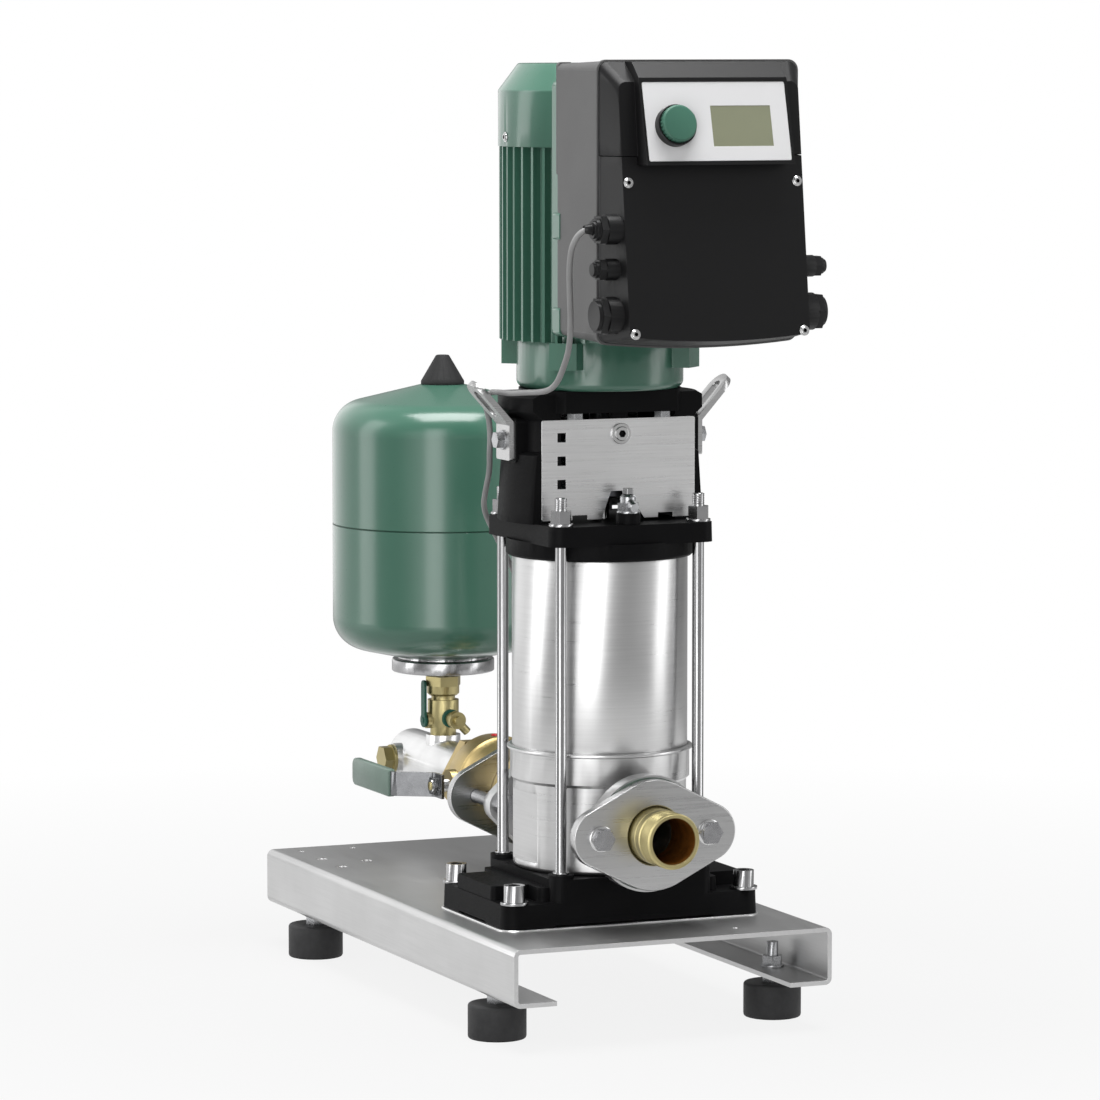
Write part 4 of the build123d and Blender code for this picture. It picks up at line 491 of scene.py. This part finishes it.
def piece(name, mesh, body, kind, replaces=()):
    """Puts a new mesh in the scene as a piece that rides on a body."""
    made = placed(name, mesh)
    made.data.materials.append(finish(kind))
    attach(made, body)
    if replaces:
        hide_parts(*replaces)
    return made


def frame_of(along):
    """Two directions across a line, which with it make a right-handed frame."""
    across = UP.cross(along) if abs(along.z) < 0.9 else RIGHT.copy()
    across = (across - along * across.dot(along)).normalized()
    return across, along.cross(across)


def settled(name, made, smooth=True):
    """The finished mesh, shaded smooth but for its sharp edges."""
    mesh = bpy.data.meshes.new(name)
    made.to_mesh(mesh)
    made.free()
    if smooth:
        mesh.shade_smooth()
        mesh.set_sharp_from_angle(angle=SMOOTH_BELOW)
    return mesh


def spun(name, profile, start, along, sides=96, shape=None):
    """A turned mesh from (radius, distance) pairs in millimetres, closed where the radius is 0.

    shape(angle, radius, distance) may change a point's radius, for threads and flutes.
    """
    across, upward = frame_of(along)
    made = bmesh.new()
    rings = []
    for radius, distance in profile:
        ring = []
        for i in range(sides if radius > 0 else 1):
            angle = 2 * math.pi * i / sides
            reach = shape(angle, radius, distance) if shape and radius > 0 else radius
            out = (across * math.cos(angle) + upward * math.sin(angle)) * reach / 1000
            ring.append(made.verts.new(start + out + along * distance / 1000))
        rings.append(ring)
    for low, high in zip(rings, rings[1:]):
        for i in range(sides):
            corners = [low[i % len(low)], low[(i + 1) % len(low)]]
            corners += [high[(i + 1) % len(high)], high[i % len(high)]]
            made.faces.new(list(dict.fromkeys(corners)))
    bmesh.ops.recalc_face_normals(made, faces=made.faces)
    return settled(name, made)


def thread(name, start, along, radius, length, pitch, depth, sides=48):
    """An outside thread: one helical ridge that runs out at both ends, in six rings a turn."""
    steps = max(8, round(length / pitch * 6))
    profile = [(radius, length * i / steps) for i in range(steps + 1)]

    def ridge(angle, reach, distance):
        runout = min(1.0, distance / pitch, (length - distance) / pitch)
        turn = distance / pitch - angle / (2 * math.pi)
        return reach - depth * (0.5 + 0.5 * math.cos(2 * math.pi * turn)) * max(0.0, runout)

    return spun(name, profile, start, along, sides, ridge)


def joined(name, meshes):
    """Several meshes as one."""
    made = bmesh.new()
    for mesh in meshes:
        made.from_mesh(mesh)
        bpy.data.meshes.remove(mesh)
    return settled(name, made, smooth=False)


def socket_screw(start, along, head, height, key, washer, thickness, sides=48):
    """A socket head screw on its washer; the second material paints shade in its deep hexagon
    socket.
    """
    deep = height * 0.35
    profile = [
        (0, 0), (washer - 0.3, 0), (washer, 0.3), (washer, thickness - 0.3),
        (washer - 0.3, thickness), (head, thickness), (head, height - 0.5), (head - 0.5, height),
        (key + 0.3, height), (key, height - 0.4), (key, deep), (0, deep),
    ]

    def hexagon(angle, reach, distance):
        if reach > key + 0.31:
            return reach
        flank = angle % (math.pi / 3) - math.pi / 6
        return reach * math.cos(math.pi / 6) / math.cos(flank)

    mesh = spun("socket_screw", profile, start, along, sides, hexagon)
    for polygon in mesh.polygons[-3 * sides:]:
        polygon.material_index = 1
    return mesh


def rounded_outline(width, height, radii, steps=8):
    """The points round a rectangle with its own radius at each corner, from the top right."""
    points = []
    for i, radius in enumerate(radii):
        x, y = (width / 2 - radius) * (1, -1, -1, 1)[i], (height / 2 - radius) * (1, 1, -1, -1)[i]
        for step in range(steps + 1):
            angle = math.pi / 2 * (i + step / steps)
            points.append((x + radius * math.cos(angle), y + radius * math.sin(angle)))
    return points


def layered(name, loops, closed):
    """A mesh skinned over loops of points with equal counts, with its ends filled if not closed."""
    made = bmesh.new()
    rings = [[made.verts.new(point) for point in loop] for loop in loops]
    count = len(rings[0])
    for low, high in zip(rings, rings[1:] + rings[:1] if closed else rings[1:]):
        for i in range(count):
            made.faces.new((low[i], low[(i + 1) % count], high[(i + 1) % count], high[i]))
    if not closed:
        made.faces.new(rings[0])
        made.faces.new(rings[-1])
    bmesh.ops.recalc_face_normals(made, faces=made.faces)
    return settled(name, made)


def band_of(name, node, low, high, proud):
    """The band of a node's own surface between two places along Y, in metres, set proud of it."""
    made = bmesh.new()
    made.from_mesh(NODES[node].data)
    bmesh.ops.remove_doubles(made, verts=made.verts, dist=WELD_WITHIN)
    for edge_y, side in ((low, -BACK), (high, BACK)):
        everything = made.verts[:] + made.edges[:] + made.faces[:]
        bmesh.ops.bisect_plane(
            made, geom=everything, plane_co=(0, edge_y, 0), plane_no=side, clear_outer=True)
    bmesh.ops.recalc_face_normals(made, faces=made.faces)
    made.normal_update()
    for vert in made.verts:
        vert.co += vert.normal * proud
    mesh = settled(name, made, smooth=False)
    mesh.set_sharp_from_angle(angle=SMOOTH_BELOW)
    return mesh


def brightness(steps, angle):
    """The brightness at an angle from the camera, between the two nearest steps of a list."""
    for (low, dim), (high, lit) in zip(steps, steps[1:]):
        if low <= angle <= high:
            return dim + (lit - dim) * (angle - low) / (high - low)
    raise ValueError(f"no wall at {angle} degrees")


class PumpSizes(bpy.types.PropertyGroup):
    """Sizes of the pump set's small details, and its camera's lens"""
    edge: FloatProperty(
        name="Edge rounding", description="Rounding of machined and cut edges",
        default=0.0004, min=0.0, max=0.002, unit="LENGTH")
    casting_edge: FloatProperty(
        name="Casting rounding", description="Rounding of the iron castings and rubber feet",
        default=0.0012, min=0.0, max=0.004, unit="LENGTH")
    cable: FloatProperty(
        name="Cable diameter", description="Diameter of the sensor cable's sheath",
        default=0.005, min=0.003, max=0.007, unit="LENGTH")
    boot: FloatProperty(
        name="Cable boot", description="Length of the tapered boot at the cable's gland",
        default=0.007, min=0.003, max=0.012, unit="LENGTH")
    nipple_pitch: FloatProperty(
        name="Nipple thread pitch", description="Pitch of the pipe thread, 11 threads to the inch",
        default=0.002309, min=0.001, max=0.004, unit="LENGTH")
    rod_pitch: FloatProperty(
        name="Rod thread pitch", description="Pitch of the threads on the tie rods' ends",
        default=0.0015, min=0.0008, max=0.003, unit="LENGTH")
    lens: FloatProperty(
        name="Lens", description="Focal length of the product view's camera",
        default=CAMERA_LENS, min=50.0, max=400.0, unit="CAMERA")


class PumpColours(bpy.types.PropertyGroup):
    """Colours of the pump set's main finishes"""
    paint: FloatVectorProperty(
        name="Paint", description="Enamel of the motor and the tank",
        default=linear("#416C5B"), min=0.0, max=1.0, subtype="COLOR")
    casting: FloatVectorProperty(
        name="Iron", description="Dip paint of the lantern and the pump's foot",
        default=linear("#0F0F10"), min=0.0, max=1.0, subtype="COLOR")
    steel: FloatVectorProperty(
        name="Stainless steel", description="Steel of the deck, the sleeve and the screws",
        default=linear("#CACACA"), min=0.0, max=1.0, subtype="COLOR")
    brass: FloatVectorProperty(
        name="Brass", description="Brass of the nipple, the plug and the tank's valve",
        default=linear("#B2A77A"), min=0.0, max=1.0, subtype="COLOR")
    casing: FloatVectorProperty(
        name="Casing", description="Paint of the converter's casing",
        default=linear("#5C5C5C"), min=0.0, max=1.0, subtype="COLOR")
    cover: FloatVectorProperty(
        name="Cover", description="Moulding of the converter's cover",
        default=linear("#101011"), min=0.0, max=1.0, subtype="COLOR")
    panel: FloatVectorProperty(
        name="Panel", description="Film on the display panel",
        default=linear("#D9D9DA"), min=0.0, max=1.0, subtype="COLOR")
    window: FloatVectorProperty(
        name="Display", description="Glass of the switched-off display",
        default=linear("#84876F"), min=0.0, max=1.0, subtype="COLOR")
    knob: FloatVectorProperty(
        name="Knob", description="Moulding of the control knob",
        default=linear("#406A5A"), min=0.0, max=1.0, subtype="COLOR")
    grip: FloatVectorProperty(
        name="Lever grip", description="Dipped grip of the ball valve's lever",
        default=linear("#62786D"), min=0.0, max=1.0, subtype="COLOR")
    cable: FloatVectorProperty(
        name="Cable", description="Sheath of the sensor cable",
        default=linear("#8A8A8A"), min=0.0, max=1.0, subtype="COLOR")
    # The band at the cover's back edge, painted shade for the gap there, takes this rubber too
    rubber: FloatVectorProperty(
        name="Rubber", description="Rubber of the feet and the cover's seal",
        default=linear("#2E2E2F"), min=0.0, max=1.0, subtype="COLOR")


class PUMP_OT_camera(bpy.types.Operator):
    """Place the camera where the product photograph was taken"""
    bl_idname = "pump.camera"
    bl_label = "Camera"

    def execute(self, context):
        lens = bpy.data.cameras.new("product_camera")
        lens.sensor_width = CAMERA_SENSOR
        lens.lens = context.scene.pump_sizes.lens
        lens.clip_start = 0.1
        lens.clip_end = 100
        camera = placed("product_camera", lens)
        right = Vector(CAMERA_RIGHT).normalized()
        ahead = Vector(CAMERA_AHEAD).normalized()
        above = right.cross(ahead)
        turn = Matrix((right, above, -ahead)).transposed().to_4x4()
        camera.matrix_world = Matrix.Translation(place(*CAMERA_PLACE)) @ turn
        context.scene.camera = camera
        return {"FINISHED"}


class PUMP_OT_cable(bpy.types.Operator):
    """Lay the pressure sensor's cable along its route, with the boot at its gland"""
    bl_idname = "pump.cable"
    bl_label = "Sensor cable"

    def execute(self, context):
        sizes = context.scene.pump_sizes
        route = [Vector((x, AXIS_Y + y, DECK + z)) for x, y, z in CABLE_ROUTE]
        line = bpy.data.curves.new("cable_sheath", "CURVE")
        line.dimensions = "3D"
        line.bevel_depth = sizes.cable / 2
        line.bevel_resolution = 5
        line.resolution_u = 10
        line.use_fill_caps = True
        spline = line.splines.new("NURBS")
        spline.points.add(len(route) - 1)
        for point, spot in zip(spline.points, route):
            point.co = (*spot, 1)
        spline.order_u = 3
        spline.use_endpoint_u = True
        cable = piece(
            "cable_sheath", line, "frame", "cable_sheath", ("sensor_cable",))
        # The boot has a collar at the gland, and tapers down to the cable
        reach = sizes.boot * 1000
        ring = sizes.cable * 500
        boot = spun(
            "cable_boot",
            [(ring + 2.6, 0), (ring + 2.6, 0.8), (ring + 1.9, 1.2), (ring + 1.5, reach * 0.5),
             (ring + 0.6, reach - 0.4), (ring + 0.1, reach)],
            route[0], -RIGHT, 48,
        )
        boot = piece("cable_boot", boot, "frame", "gland_nylon")
        return {"FINISHED"}


class PUMP_OT_base(bpy.types.Operator):
    """Finish the base frame, its rubber feet and their studs"""
    bl_idname = "pump.base"
    bl_label = "Base frame and feet"

    def execute(self, context):
        sizes = context.scene.pump_sizes
        dress("base_frame", "brushed_sheet_deck")
        dress("rubber_feet", "foot_rubber", sizes.casting_edge)
        dress("foot_studs", "zinc_plating")
        low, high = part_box("pump_foot")
        width, depth = (high.x - low.x) * 1000, (high.y - low.y) * 1000
        # The bright sheet under the foot stands out 2.5 mm all round, and its top edge is broken
        loops = []
        for grow, rise in ((-2, 0), (5, 0), (5, 0.7), (4, 1.2), (-2, 1.2)):
            outline = rounded_outline(width + grow, depth + grow, [FOOT_CORNER + grow / 2] * 4)
            loops.append([place(x, y, rise) for x, y in outline])
        seat = layered("plinth_seat", loops, True)
        piece("plinth_seat", seat, "frame", "plinth_rim")
        return {"FINISHED"}


class PUMP_OT_pump(bpy.types.Operator):
    """Finish the pump from its foot to the lantern, and cut the tie rods' threads"""
    bl_idname = "pump.pump"
    bl_label = "Pump"

    def execute(self, context):
        sizes = context.scene.pump_sizes
        dress("pump_foot lantern", "painted_iron", sizes.casting_edge)
        dress("foot_bolts tie_rods vent_screw", "rod_steel")
        dress("pump_casing outer_sleeve stage_casings impellers", "drawn_steel")
        dress("pump_shaft", "turned_steel")
        dress("shaft_seal", "ceramic_ring")
        dress("shaft_coupling", "stacked_sheets")
        dress("coupling_guards", "bright_sheet")
        dress("lifting_eyes", "flange_sheet")
        dress("vent_valve", "zinc_plating")
        dress("flange_gaskets", "fibre_gasket", 0)
        # Each thread ends 0.5 mm under its rod's top, where the chamfer is
        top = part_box("tie_rods")[1].z
        threads = []
        for x in (-ROD_OFFSET, ROD_OFFSET):
            for y in (-ROD_OFFSET, ROD_OFFSET):
                start = place(x, y, 0)
                start.z = top - (ROD_THREAD_LENGTH + 0.5) / 1000
                threads.append(thread(
                    f"rod_{x}_{y}", start, UP, ROD_THREAD_RADIUS, ROD_THREAD_LENGTH,
                    sizes.rod_pitch * 1000, ROD_THREAD_DEPTH,
                ))
        piece("rod_threads", joined("rod_threads", threads), "frame", "rod_steel")
        return {"FINISHED"}


class PUMP_OT_suction(bpy.types.Operator):
    """Finish the suction flange and its bolts, and turn the threaded nipple"""
    bl_idname = "pump.suction"
    bl_label = "Suction side"

    def execute(self, context):
        sizes = context.scene.pump_sizes
        dress("suction_flange", "flange_sheet")
        dress("flange_bolts", "dark_plating")
        rim = [(8, 0), (11, 0), (11, 1.1), (9.8, 1.8), (8, 1.8), (8, 0)]
        rims = [
            spun("rim", rim, place(x, FLANGE_FACE_Y, PIPE_HEIGHT), -BACK, 64)
            for x in (-FLANGE_BOLT_X, FLANGE_BOLT_X)
        ]
        piece("bolt_rims", joined("bolt_rims", rims), "frame", "turned_steel")
        low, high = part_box("suction_nipple")
        centre = (low + high) / 2
        length = (high.y - low.y) * 1000
        radius = (high.z - low.z) * 500
        bore = radius - NIPPLE_WALL
        pitch = sizes.nipple_pitch * 1000
        first, last = NIPPLE_THREAD
        steps, sides = 56, 128
        # The chamfered mouth, the thread, its run-out groove, the plain part with a fine line cut
        # round it, and back through the bore
        outer = [(bore + 0.6, 0), (radius - 1.5, 0), (radius - 0.6, 0.9)]
        outer += [(radius, first + (last - first) * i / steps) for i in range(steps + 1)]
        outer += [
            (radius - 0.9, 17.6), (radius - 0.9, 19.2), (radius, 19.8), (radius, 27),
            (radius - 0.4, 27.3), (radius - 0.4, 27.9), (radius, 28.2), (radius, length),
            (bore, length), (bore, 0.8), (bore + 0.6, 0),
        ]

        def crest(angle, reach, distance):
            if not first < distance < last:
                return reach
            turn = distance / pitch - angle / (2 * math.pi)
            return reach - NIPPLE_THREAD_DEPTH * (0.5 + 0.5 * math.cos(2 * math.pi * turn))

        nipple = spun("nipple", outer, Vector((centre.x, low.y, centre.z)), BACK, sides, crest)
        for polygon in nipple.polygons[-2 * sides:-sides]:
            polygon.material_index = 1
        nipple = piece(
            "nipple", nipple, "frame", "machined_brass", ("suction_nipple",))
        nipple.data.materials.append(finish("oxidised_brass"))
        return {"FINISHED"}


class PUMP_OT_discharge(bpy.types.Operator):
    """Finish the non-return valve, the ball valve with its lever and grip, and the outlet pipe"""
    bl_idname = "pump.discharge"
    bl_label = "Discharge side"

    def execute(self, context):
        dress("check_valve_body check_valve_flap ball_valve_body", "forged_brass")
        dress("discharge_flange", "flange_sheet")
        # The pipe's lighter steel is painted sheen
        dress("discharge_pipe", "drawn_steel_pipe")
        dress("valve_ball pressure_sensor", "turned_steel")
        # The lever's darker steel is painted shade
        dress("valve_lever", "stamped_steel")
        dress("pipe_plug", "machined_brass")
        low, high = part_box("lever_sleeve")
        middle = (low + high) / 2
        size = (high - low) * 1000
        # The grip is crowned: its outline shrinks towards both of its flat faces, and its free end
        # is rounder than the end at the valve
        crown = ((-0.5, 0.9), (-0.42, 0.25), (-0.3, 0), (0.3, 0), (0.42, 0.25), (0.5, 0.9))
        loops = []
        for across, shrink in crown:
            outline = rounded_outline(size.y - 2 * shrink, size.z - 2 * shrink, (6, 2, 2, 6))
            loops.append(
                [middle + Vector((across * size.x, along, up)) / 1000 for along, up in outline])
        piece(
            "lever_grip", layered("lever_grip", loops, False), "discharge_valve", "dipped_vinyl",
            ("lever_sleeve",),
        )
        end = place(0, VALVE_BACK, PIPE_HEIGHT)
        end.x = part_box("valve_ball")[0].x
        button = [(0, 0), (3.9, 0), (3.9, 0.5), (3.3, 0.9), (0, 0.9)]
        stem = spun("stem_end", button, end, -RIGHT, 48)
        piece("stem_end", stem, "discharge_valve", "machined_brass")
        button = [(0, 0), (5, 0), (5, 0.8), (4.4, 1.3), (0, 1.3)]
        cap = spun("body_cap", button, place(0, VALVE_BACK, VALVE_TOP), UP, 48)
        piece("body_cap", cap, "frame", "red_cap")
        return {"FINISHED"}


class PUMP_OT_tank(bpy.types.Operator):
    """Finish the diaphragm tank, its clamp ring, its cap and its valve"""
    bl_idname = "pump.tank"
    bl_label = "Tank and its valve"

    def execute(self, context):
        dress("tank_shell_lower tank_shell_upper", "green_enamel", 0)
        dress("tank_membrane", "membrane_rubber", 0)
        dress("tank_cap", "cap_rubber")
        dress("tank_clamp_ring", "rod_steel")
        dress("tank_valve_body drain_cap", "machined_brass")
        dress("tank_valve_lever", "handle_nylon")
        hoop = [
            (5.5, 0.3), (7.9, 0.3), (8.4, 0.8), (8.4, 3.8), (7.9, 4.3), (5.5, 4.3), (5.5, 0.3),
        ]
        ring = spun("drain_ring", hoop, place(*DRAIN_PLACE), -BACK, 64)
        piece("drain_ring", ring, "frame", "handle_nylon")
        low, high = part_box("tank_shell_upper")
        radius = (high.x - low.x) * 500
        centre = (low + high) / 2
        start = Vector((centre.x, centre.y, place(0, 0, SEAM_HEIGHT).z))
        # A flat hoop in the joint, as wide as the tank and no wider
        hoop = [
            (radius - 1, -SEAM_HALF), (radius, -SEAM_HALF), (radius, SEAM_HALF),
            (radius - 1, SEAM_HALF), (radius - 1, -SEAM_HALF),
        ]
        seam = spun("tank_seam", hoop, start, UP, 240)
        piece("tank_seam", seam, "frame", "seam_lacquer")
        return {"FINISHED"}


class PUMP_OT_motor(bpy.types.Operator):
    """Finish the motor, its fan cover, its insides and the bolts round it"""
    bl_idname = "pump.motor"
    bl_label = "Motor"

    def execute(self, context):
        dress("motor_end_shield motor_housing terminal_base", "green_cast_enamel")
        dress("fan_cover", "green_enamel")
        dress("lantern_bolts", "zinc_plating")
        dress("stator", "lacquered_copper")
        dress("motor_rotor", "stacked_sheets")
        dress("motor_bearings", "turned_steel")
        dress("cooling_fan", "gland_nylon")
        return {"FINISHED"}


class PUMP_OT_converter(bpy.types.Operator):
    """Finish the frequency converter, its display, its knob and its cable entries"""
    bl_idname = "pump.converter"
    bl_label = "Converter"

    def execute(self, context):
        sizes = context.scene.pump_sizes
        dress("converter_casing", "grey_die_casting")
        dress("converter_cover display_module", "black_moulding")
        dress("display_panel", "panel_film", sizes.edge / 2)
        dress("display_window", "display_glass", 0)
        dress("control_knob", "green_nylon")
        dress("encoder_plunger cable_glands", "gland_nylon")
        dress("circuit_board", "solder_mask", 0)
        # Four screws sunk 1.2 mm into the cover's corners, three round the fan cover, and one in
        # each guard plate
        screws = []
        for x in (-COVER_SCREW_X, COVER_SCREW_X):
            for y, z in COVER_SCREW_ROWS:
                start = place(x, y, z) - COVER_FACING * 0.0012
                screws.append(socket_screw(start, COVER_FACING, *COVER_SCREW))
        for across, along in ((-1, 0), (1, 0), (0, 1)):
            out = Vector((across, along, 0))
            start = place(FAN_SCREW_RADIUS * across, FAN_SCREW_RADIUS * along, FAN_SCREW_HEIGHT)
            screws.append(socket_screw(start, out, *FAN_SCREW))
        x, y, z = GUARD_SCREW_PLACE
        for side in (-1, 1):
            start = place(side * x, side * y, z)
            screws.append(socket_screw(start, BACK * side, *GUARD_SCREW))
        screws = piece(
            "socket_screws", joined("socket_screws", screws), "frame", "turned_steel",
            ("panel_screws",),
        )
        # The second material is painted shade: the near-black inside of each socket
        screws.data.materials.append(finish("oiled_steel"))
        outward = Vector((0, -math.cos(KNOB_LEAN), math.sin(KNOB_LEAN)))
        # Painted shade: a black ring round the knob's foot stands in for the shade of its recess
        hoop = [(15.6, -0.5), (17, -0.5), (17, 7), (16.5, 7.5), (15.6, 7.5), (15.6, -0.5)]
        collar = spun("knob_shade_ring", hoop, place(*KNOB_PLACE), outward, 96)
        piece("knob_shade_ring", collar, "frame", "gland_nylon")
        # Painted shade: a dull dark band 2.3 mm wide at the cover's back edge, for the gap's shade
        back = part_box("converter_cover")[1].y
        seal = band_of("cover_gap_shade", "converter_cover", back - 0.0024, back - 0.0001, 0.0001)
        piece("cover_gap_shade", seal, "frame", "foot_rubber")
        return {"FINISHED"}


class PUMP_OT_stage(bpy.types.Operator):
    """Build the studio: a pale floor, white surroundings and soft lamps"""
    bl_idname = "pump.stage"
    bl_label = "Studio"

    def execute(self, context):
        scene = context.scene
        scene.view_settings.view_transform = "Standard"
        world = bpy.data.worlds.new("white_room")
        scene.world = world
        tree = bare_tree(world)
        strength = add(tree, "MapRange", {0: self.seen(tree), 3: AMBIENT, 4: 1.0}).outputs[0]
        room = add(tree, "Background", {"Color": (1, 1, 1, 1), "Strength": strength})
        add(tree, "OutputWorld", {"Surface": room.outputs[0]})
        paper = bpy.data.materials.new("studio_paper")
        tree = bare_tree(paper)
        diffuse = add(tree, "BsdfDiffuse", {"Color": tone(linear("#A6A6A6"), 1)})
        white = add(tree, "Emission", {"Color": (1, 1, 1, 1), "Strength": 1.0})
        where = add(tree, "TexCoord").outputs["Object"]
        away = add(tree, "VectorMath", {0: where}, operation="LENGTH").outputs["Value"]
        near, far = FLOOR_WHITE
        fade = add(tree, "MapRange", {0: away, 1: near, 2: far, 3: FLOOR_NEAR, 4: 1.0}).outputs[0]
        share = add(tree, "Math", {0: fade, 1: self.seen(tree)}, operation="MULTIPLY").outputs[0]
        mixed = add(tree, "MixShader", {0: share, 1: diffuse.outputs[0], 2: white.outputs[0]})
        add(tree, "OutputMaterial", {"Surface": mixed.outputs[0]})
        mesh = bpy.data.meshes.new("studio_floor")
        corners = [
            (x * FLOOR_REACH, y * FLOOR_REACH, 0) for x, y in ((-1, -1), (1, -1), (1, 1), (-1, 1))
        ]
        mesh.from_pydata(corners, [], [(0, 1, 2, 3)])
        mesh.materials.append(paper)
        floor = placed("studio_floor", mesh)
        self.walls()
        target = place(*LAMP_TARGET)
        for name, azimuth, height, distance, size, level in LAMPS:
            lamp = bpy.data.lights.new(name, "AREA")
            lamp.shape = "RECTANGLE"
            lamp.size, lamp.size_y = size
            lamp.energy = level * math.pi * size[0] * size[1]
            holder = placed(name, lamp)
            turn, rise = math.radians(VIEW_AZIMUTH + azimuth), math.radians(height)
            towards = Vector((
                math.sin(turn) * math.cos(rise), -math.cos(turn) * math.cos(rise), math.sin(rise),
            ))
            holder.location = target + towards * distance
            holder.rotation_euler = towards.to_track_quat("Z", "Y").to_euler()
            holder.visible_camera = False
        return {"FINISHED"}

    def walls(self):
        """The room round the set: its cloth, walls and ceiling, which only glossy surfaces see."""
        paper = bpy.data.materials.new("studio_walls")
        tree = bare_tree(paper)
        level = add(tree, "Attribute", attribute_name="level").outputs["Fac"]
        glow = add(tree, "Emission", {"Color": (1, 1, 1, 1), "Strength": level})
        add(tree, "OutputMaterial", {"Surface": glow.outputs[0]})
        made = bmesh.new()
        level = made.verts.layers.float.new("level")
        columns = []
        for angle in range(-180, 180, ROOM_STEP):
            turn = math.radians(VIEW_AZIMUTH + angle)
            light = {
                "cloth": brightness(FLOOR_CLOTH, angle), "wall": brightness(WALLS, angle),
                "upper": brightness(UPPER_WALLS, angle), "ceiling": CEILING,
            }
            column = []
            for radius, height, part in ROOM:
                vert = made.verts.new((radius * math.sin(turn), -radius * math.cos(turn), height))
                vert[level] = light[part]
                column.append(vert)
            columns.append(column)
        for column, following in zip(columns, columns[1:] + columns[:1]):
            for low, high, far_high, far_low in zip(column, column[1:], following[1:], following):
                made.faces.new((low, far_low, far_high, high))
        mesh = settled("studio_walls", made, smooth=False)
        mesh.materials.append(paper)
        walls = placed("studio_walls", mesh)
        walls.visible_camera = False
        walls.visible_diffuse = False
        walls.visible_transmission = False
        walls.visible_shadow = False

    def seen(self, tree):
        """1 for rays from the camera, off metal or through glass, and 0 for light on the set."""
        path = add(tree, "LightPath")
        gloss = add(
            tree, "Math", {0: path.outputs["Is Camera Ray"], 1: path.outputs["Is Glossy Ray"]},
            operation="MAXIMUM",
        )
        return add(
            tree, "Math", {0: gloss.outputs[0], 1: path.outputs["Is Transmission Ray"]},
            operation="MAXIMUM",
        ).outputs[0]


STEPS = (
    PUMP_OT_camera, PUMP_OT_cable, PUMP_OT_base, PUMP_OT_pump, PUMP_OT_suction, PUMP_OT_discharge,
    PUMP_OT_tank, PUMP_OT_motor, PUMP_OT_converter, PUMP_OT_stage,
)


class PUMP_PT_panel(bpy.types.Panel):
    """The pump set's sizes, colours and making steps"""
    bl_idname = "PUMP_PT_panel"
    bl_label = "Booster pump set"
    bl_space_type = "VIEW_3D"
    bl_region_type = "UI"
    bl_category = "Pump set"

    def draw(self, context):
        for step in STEPS:
            self.layout.operator(step.bl_idname)
        for group in (context.scene.pump_sizes, context.scene.pump_colours):
            box = self.layout.box()
            for setting in group.bl_rna.properties:
                if setting.identifier not in ("rna_type", "name"):
                    box.prop(group, setting.identifier)


CLASSES = (PumpSizes, PumpColours, *STEPS, PUMP_PT_panel)


def register():
    for kind in CLASSES:
        bpy.utils.register_class(kind)
    bpy.types.Scene.pump_sizes = PointerProperty(type=PumpSizes)
    bpy.types.Scene.pump_colours = PointerProperty(type=PumpColours)


def unregister():
    del bpy.types.Scene.pump_colours
    del bpy.types.Scene.pump_sizes
    for kind in reversed(CLASSES):
        bpy.utils.unregister_class(kind)


def main():
    """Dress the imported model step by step."""
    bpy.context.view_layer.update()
    register()
    for step in STEPS:
        group, name = step.bl_idname.split(".")
        getattr(getattr(bpy.ops, group), name)()


if __name__ == "__main__":
    main()
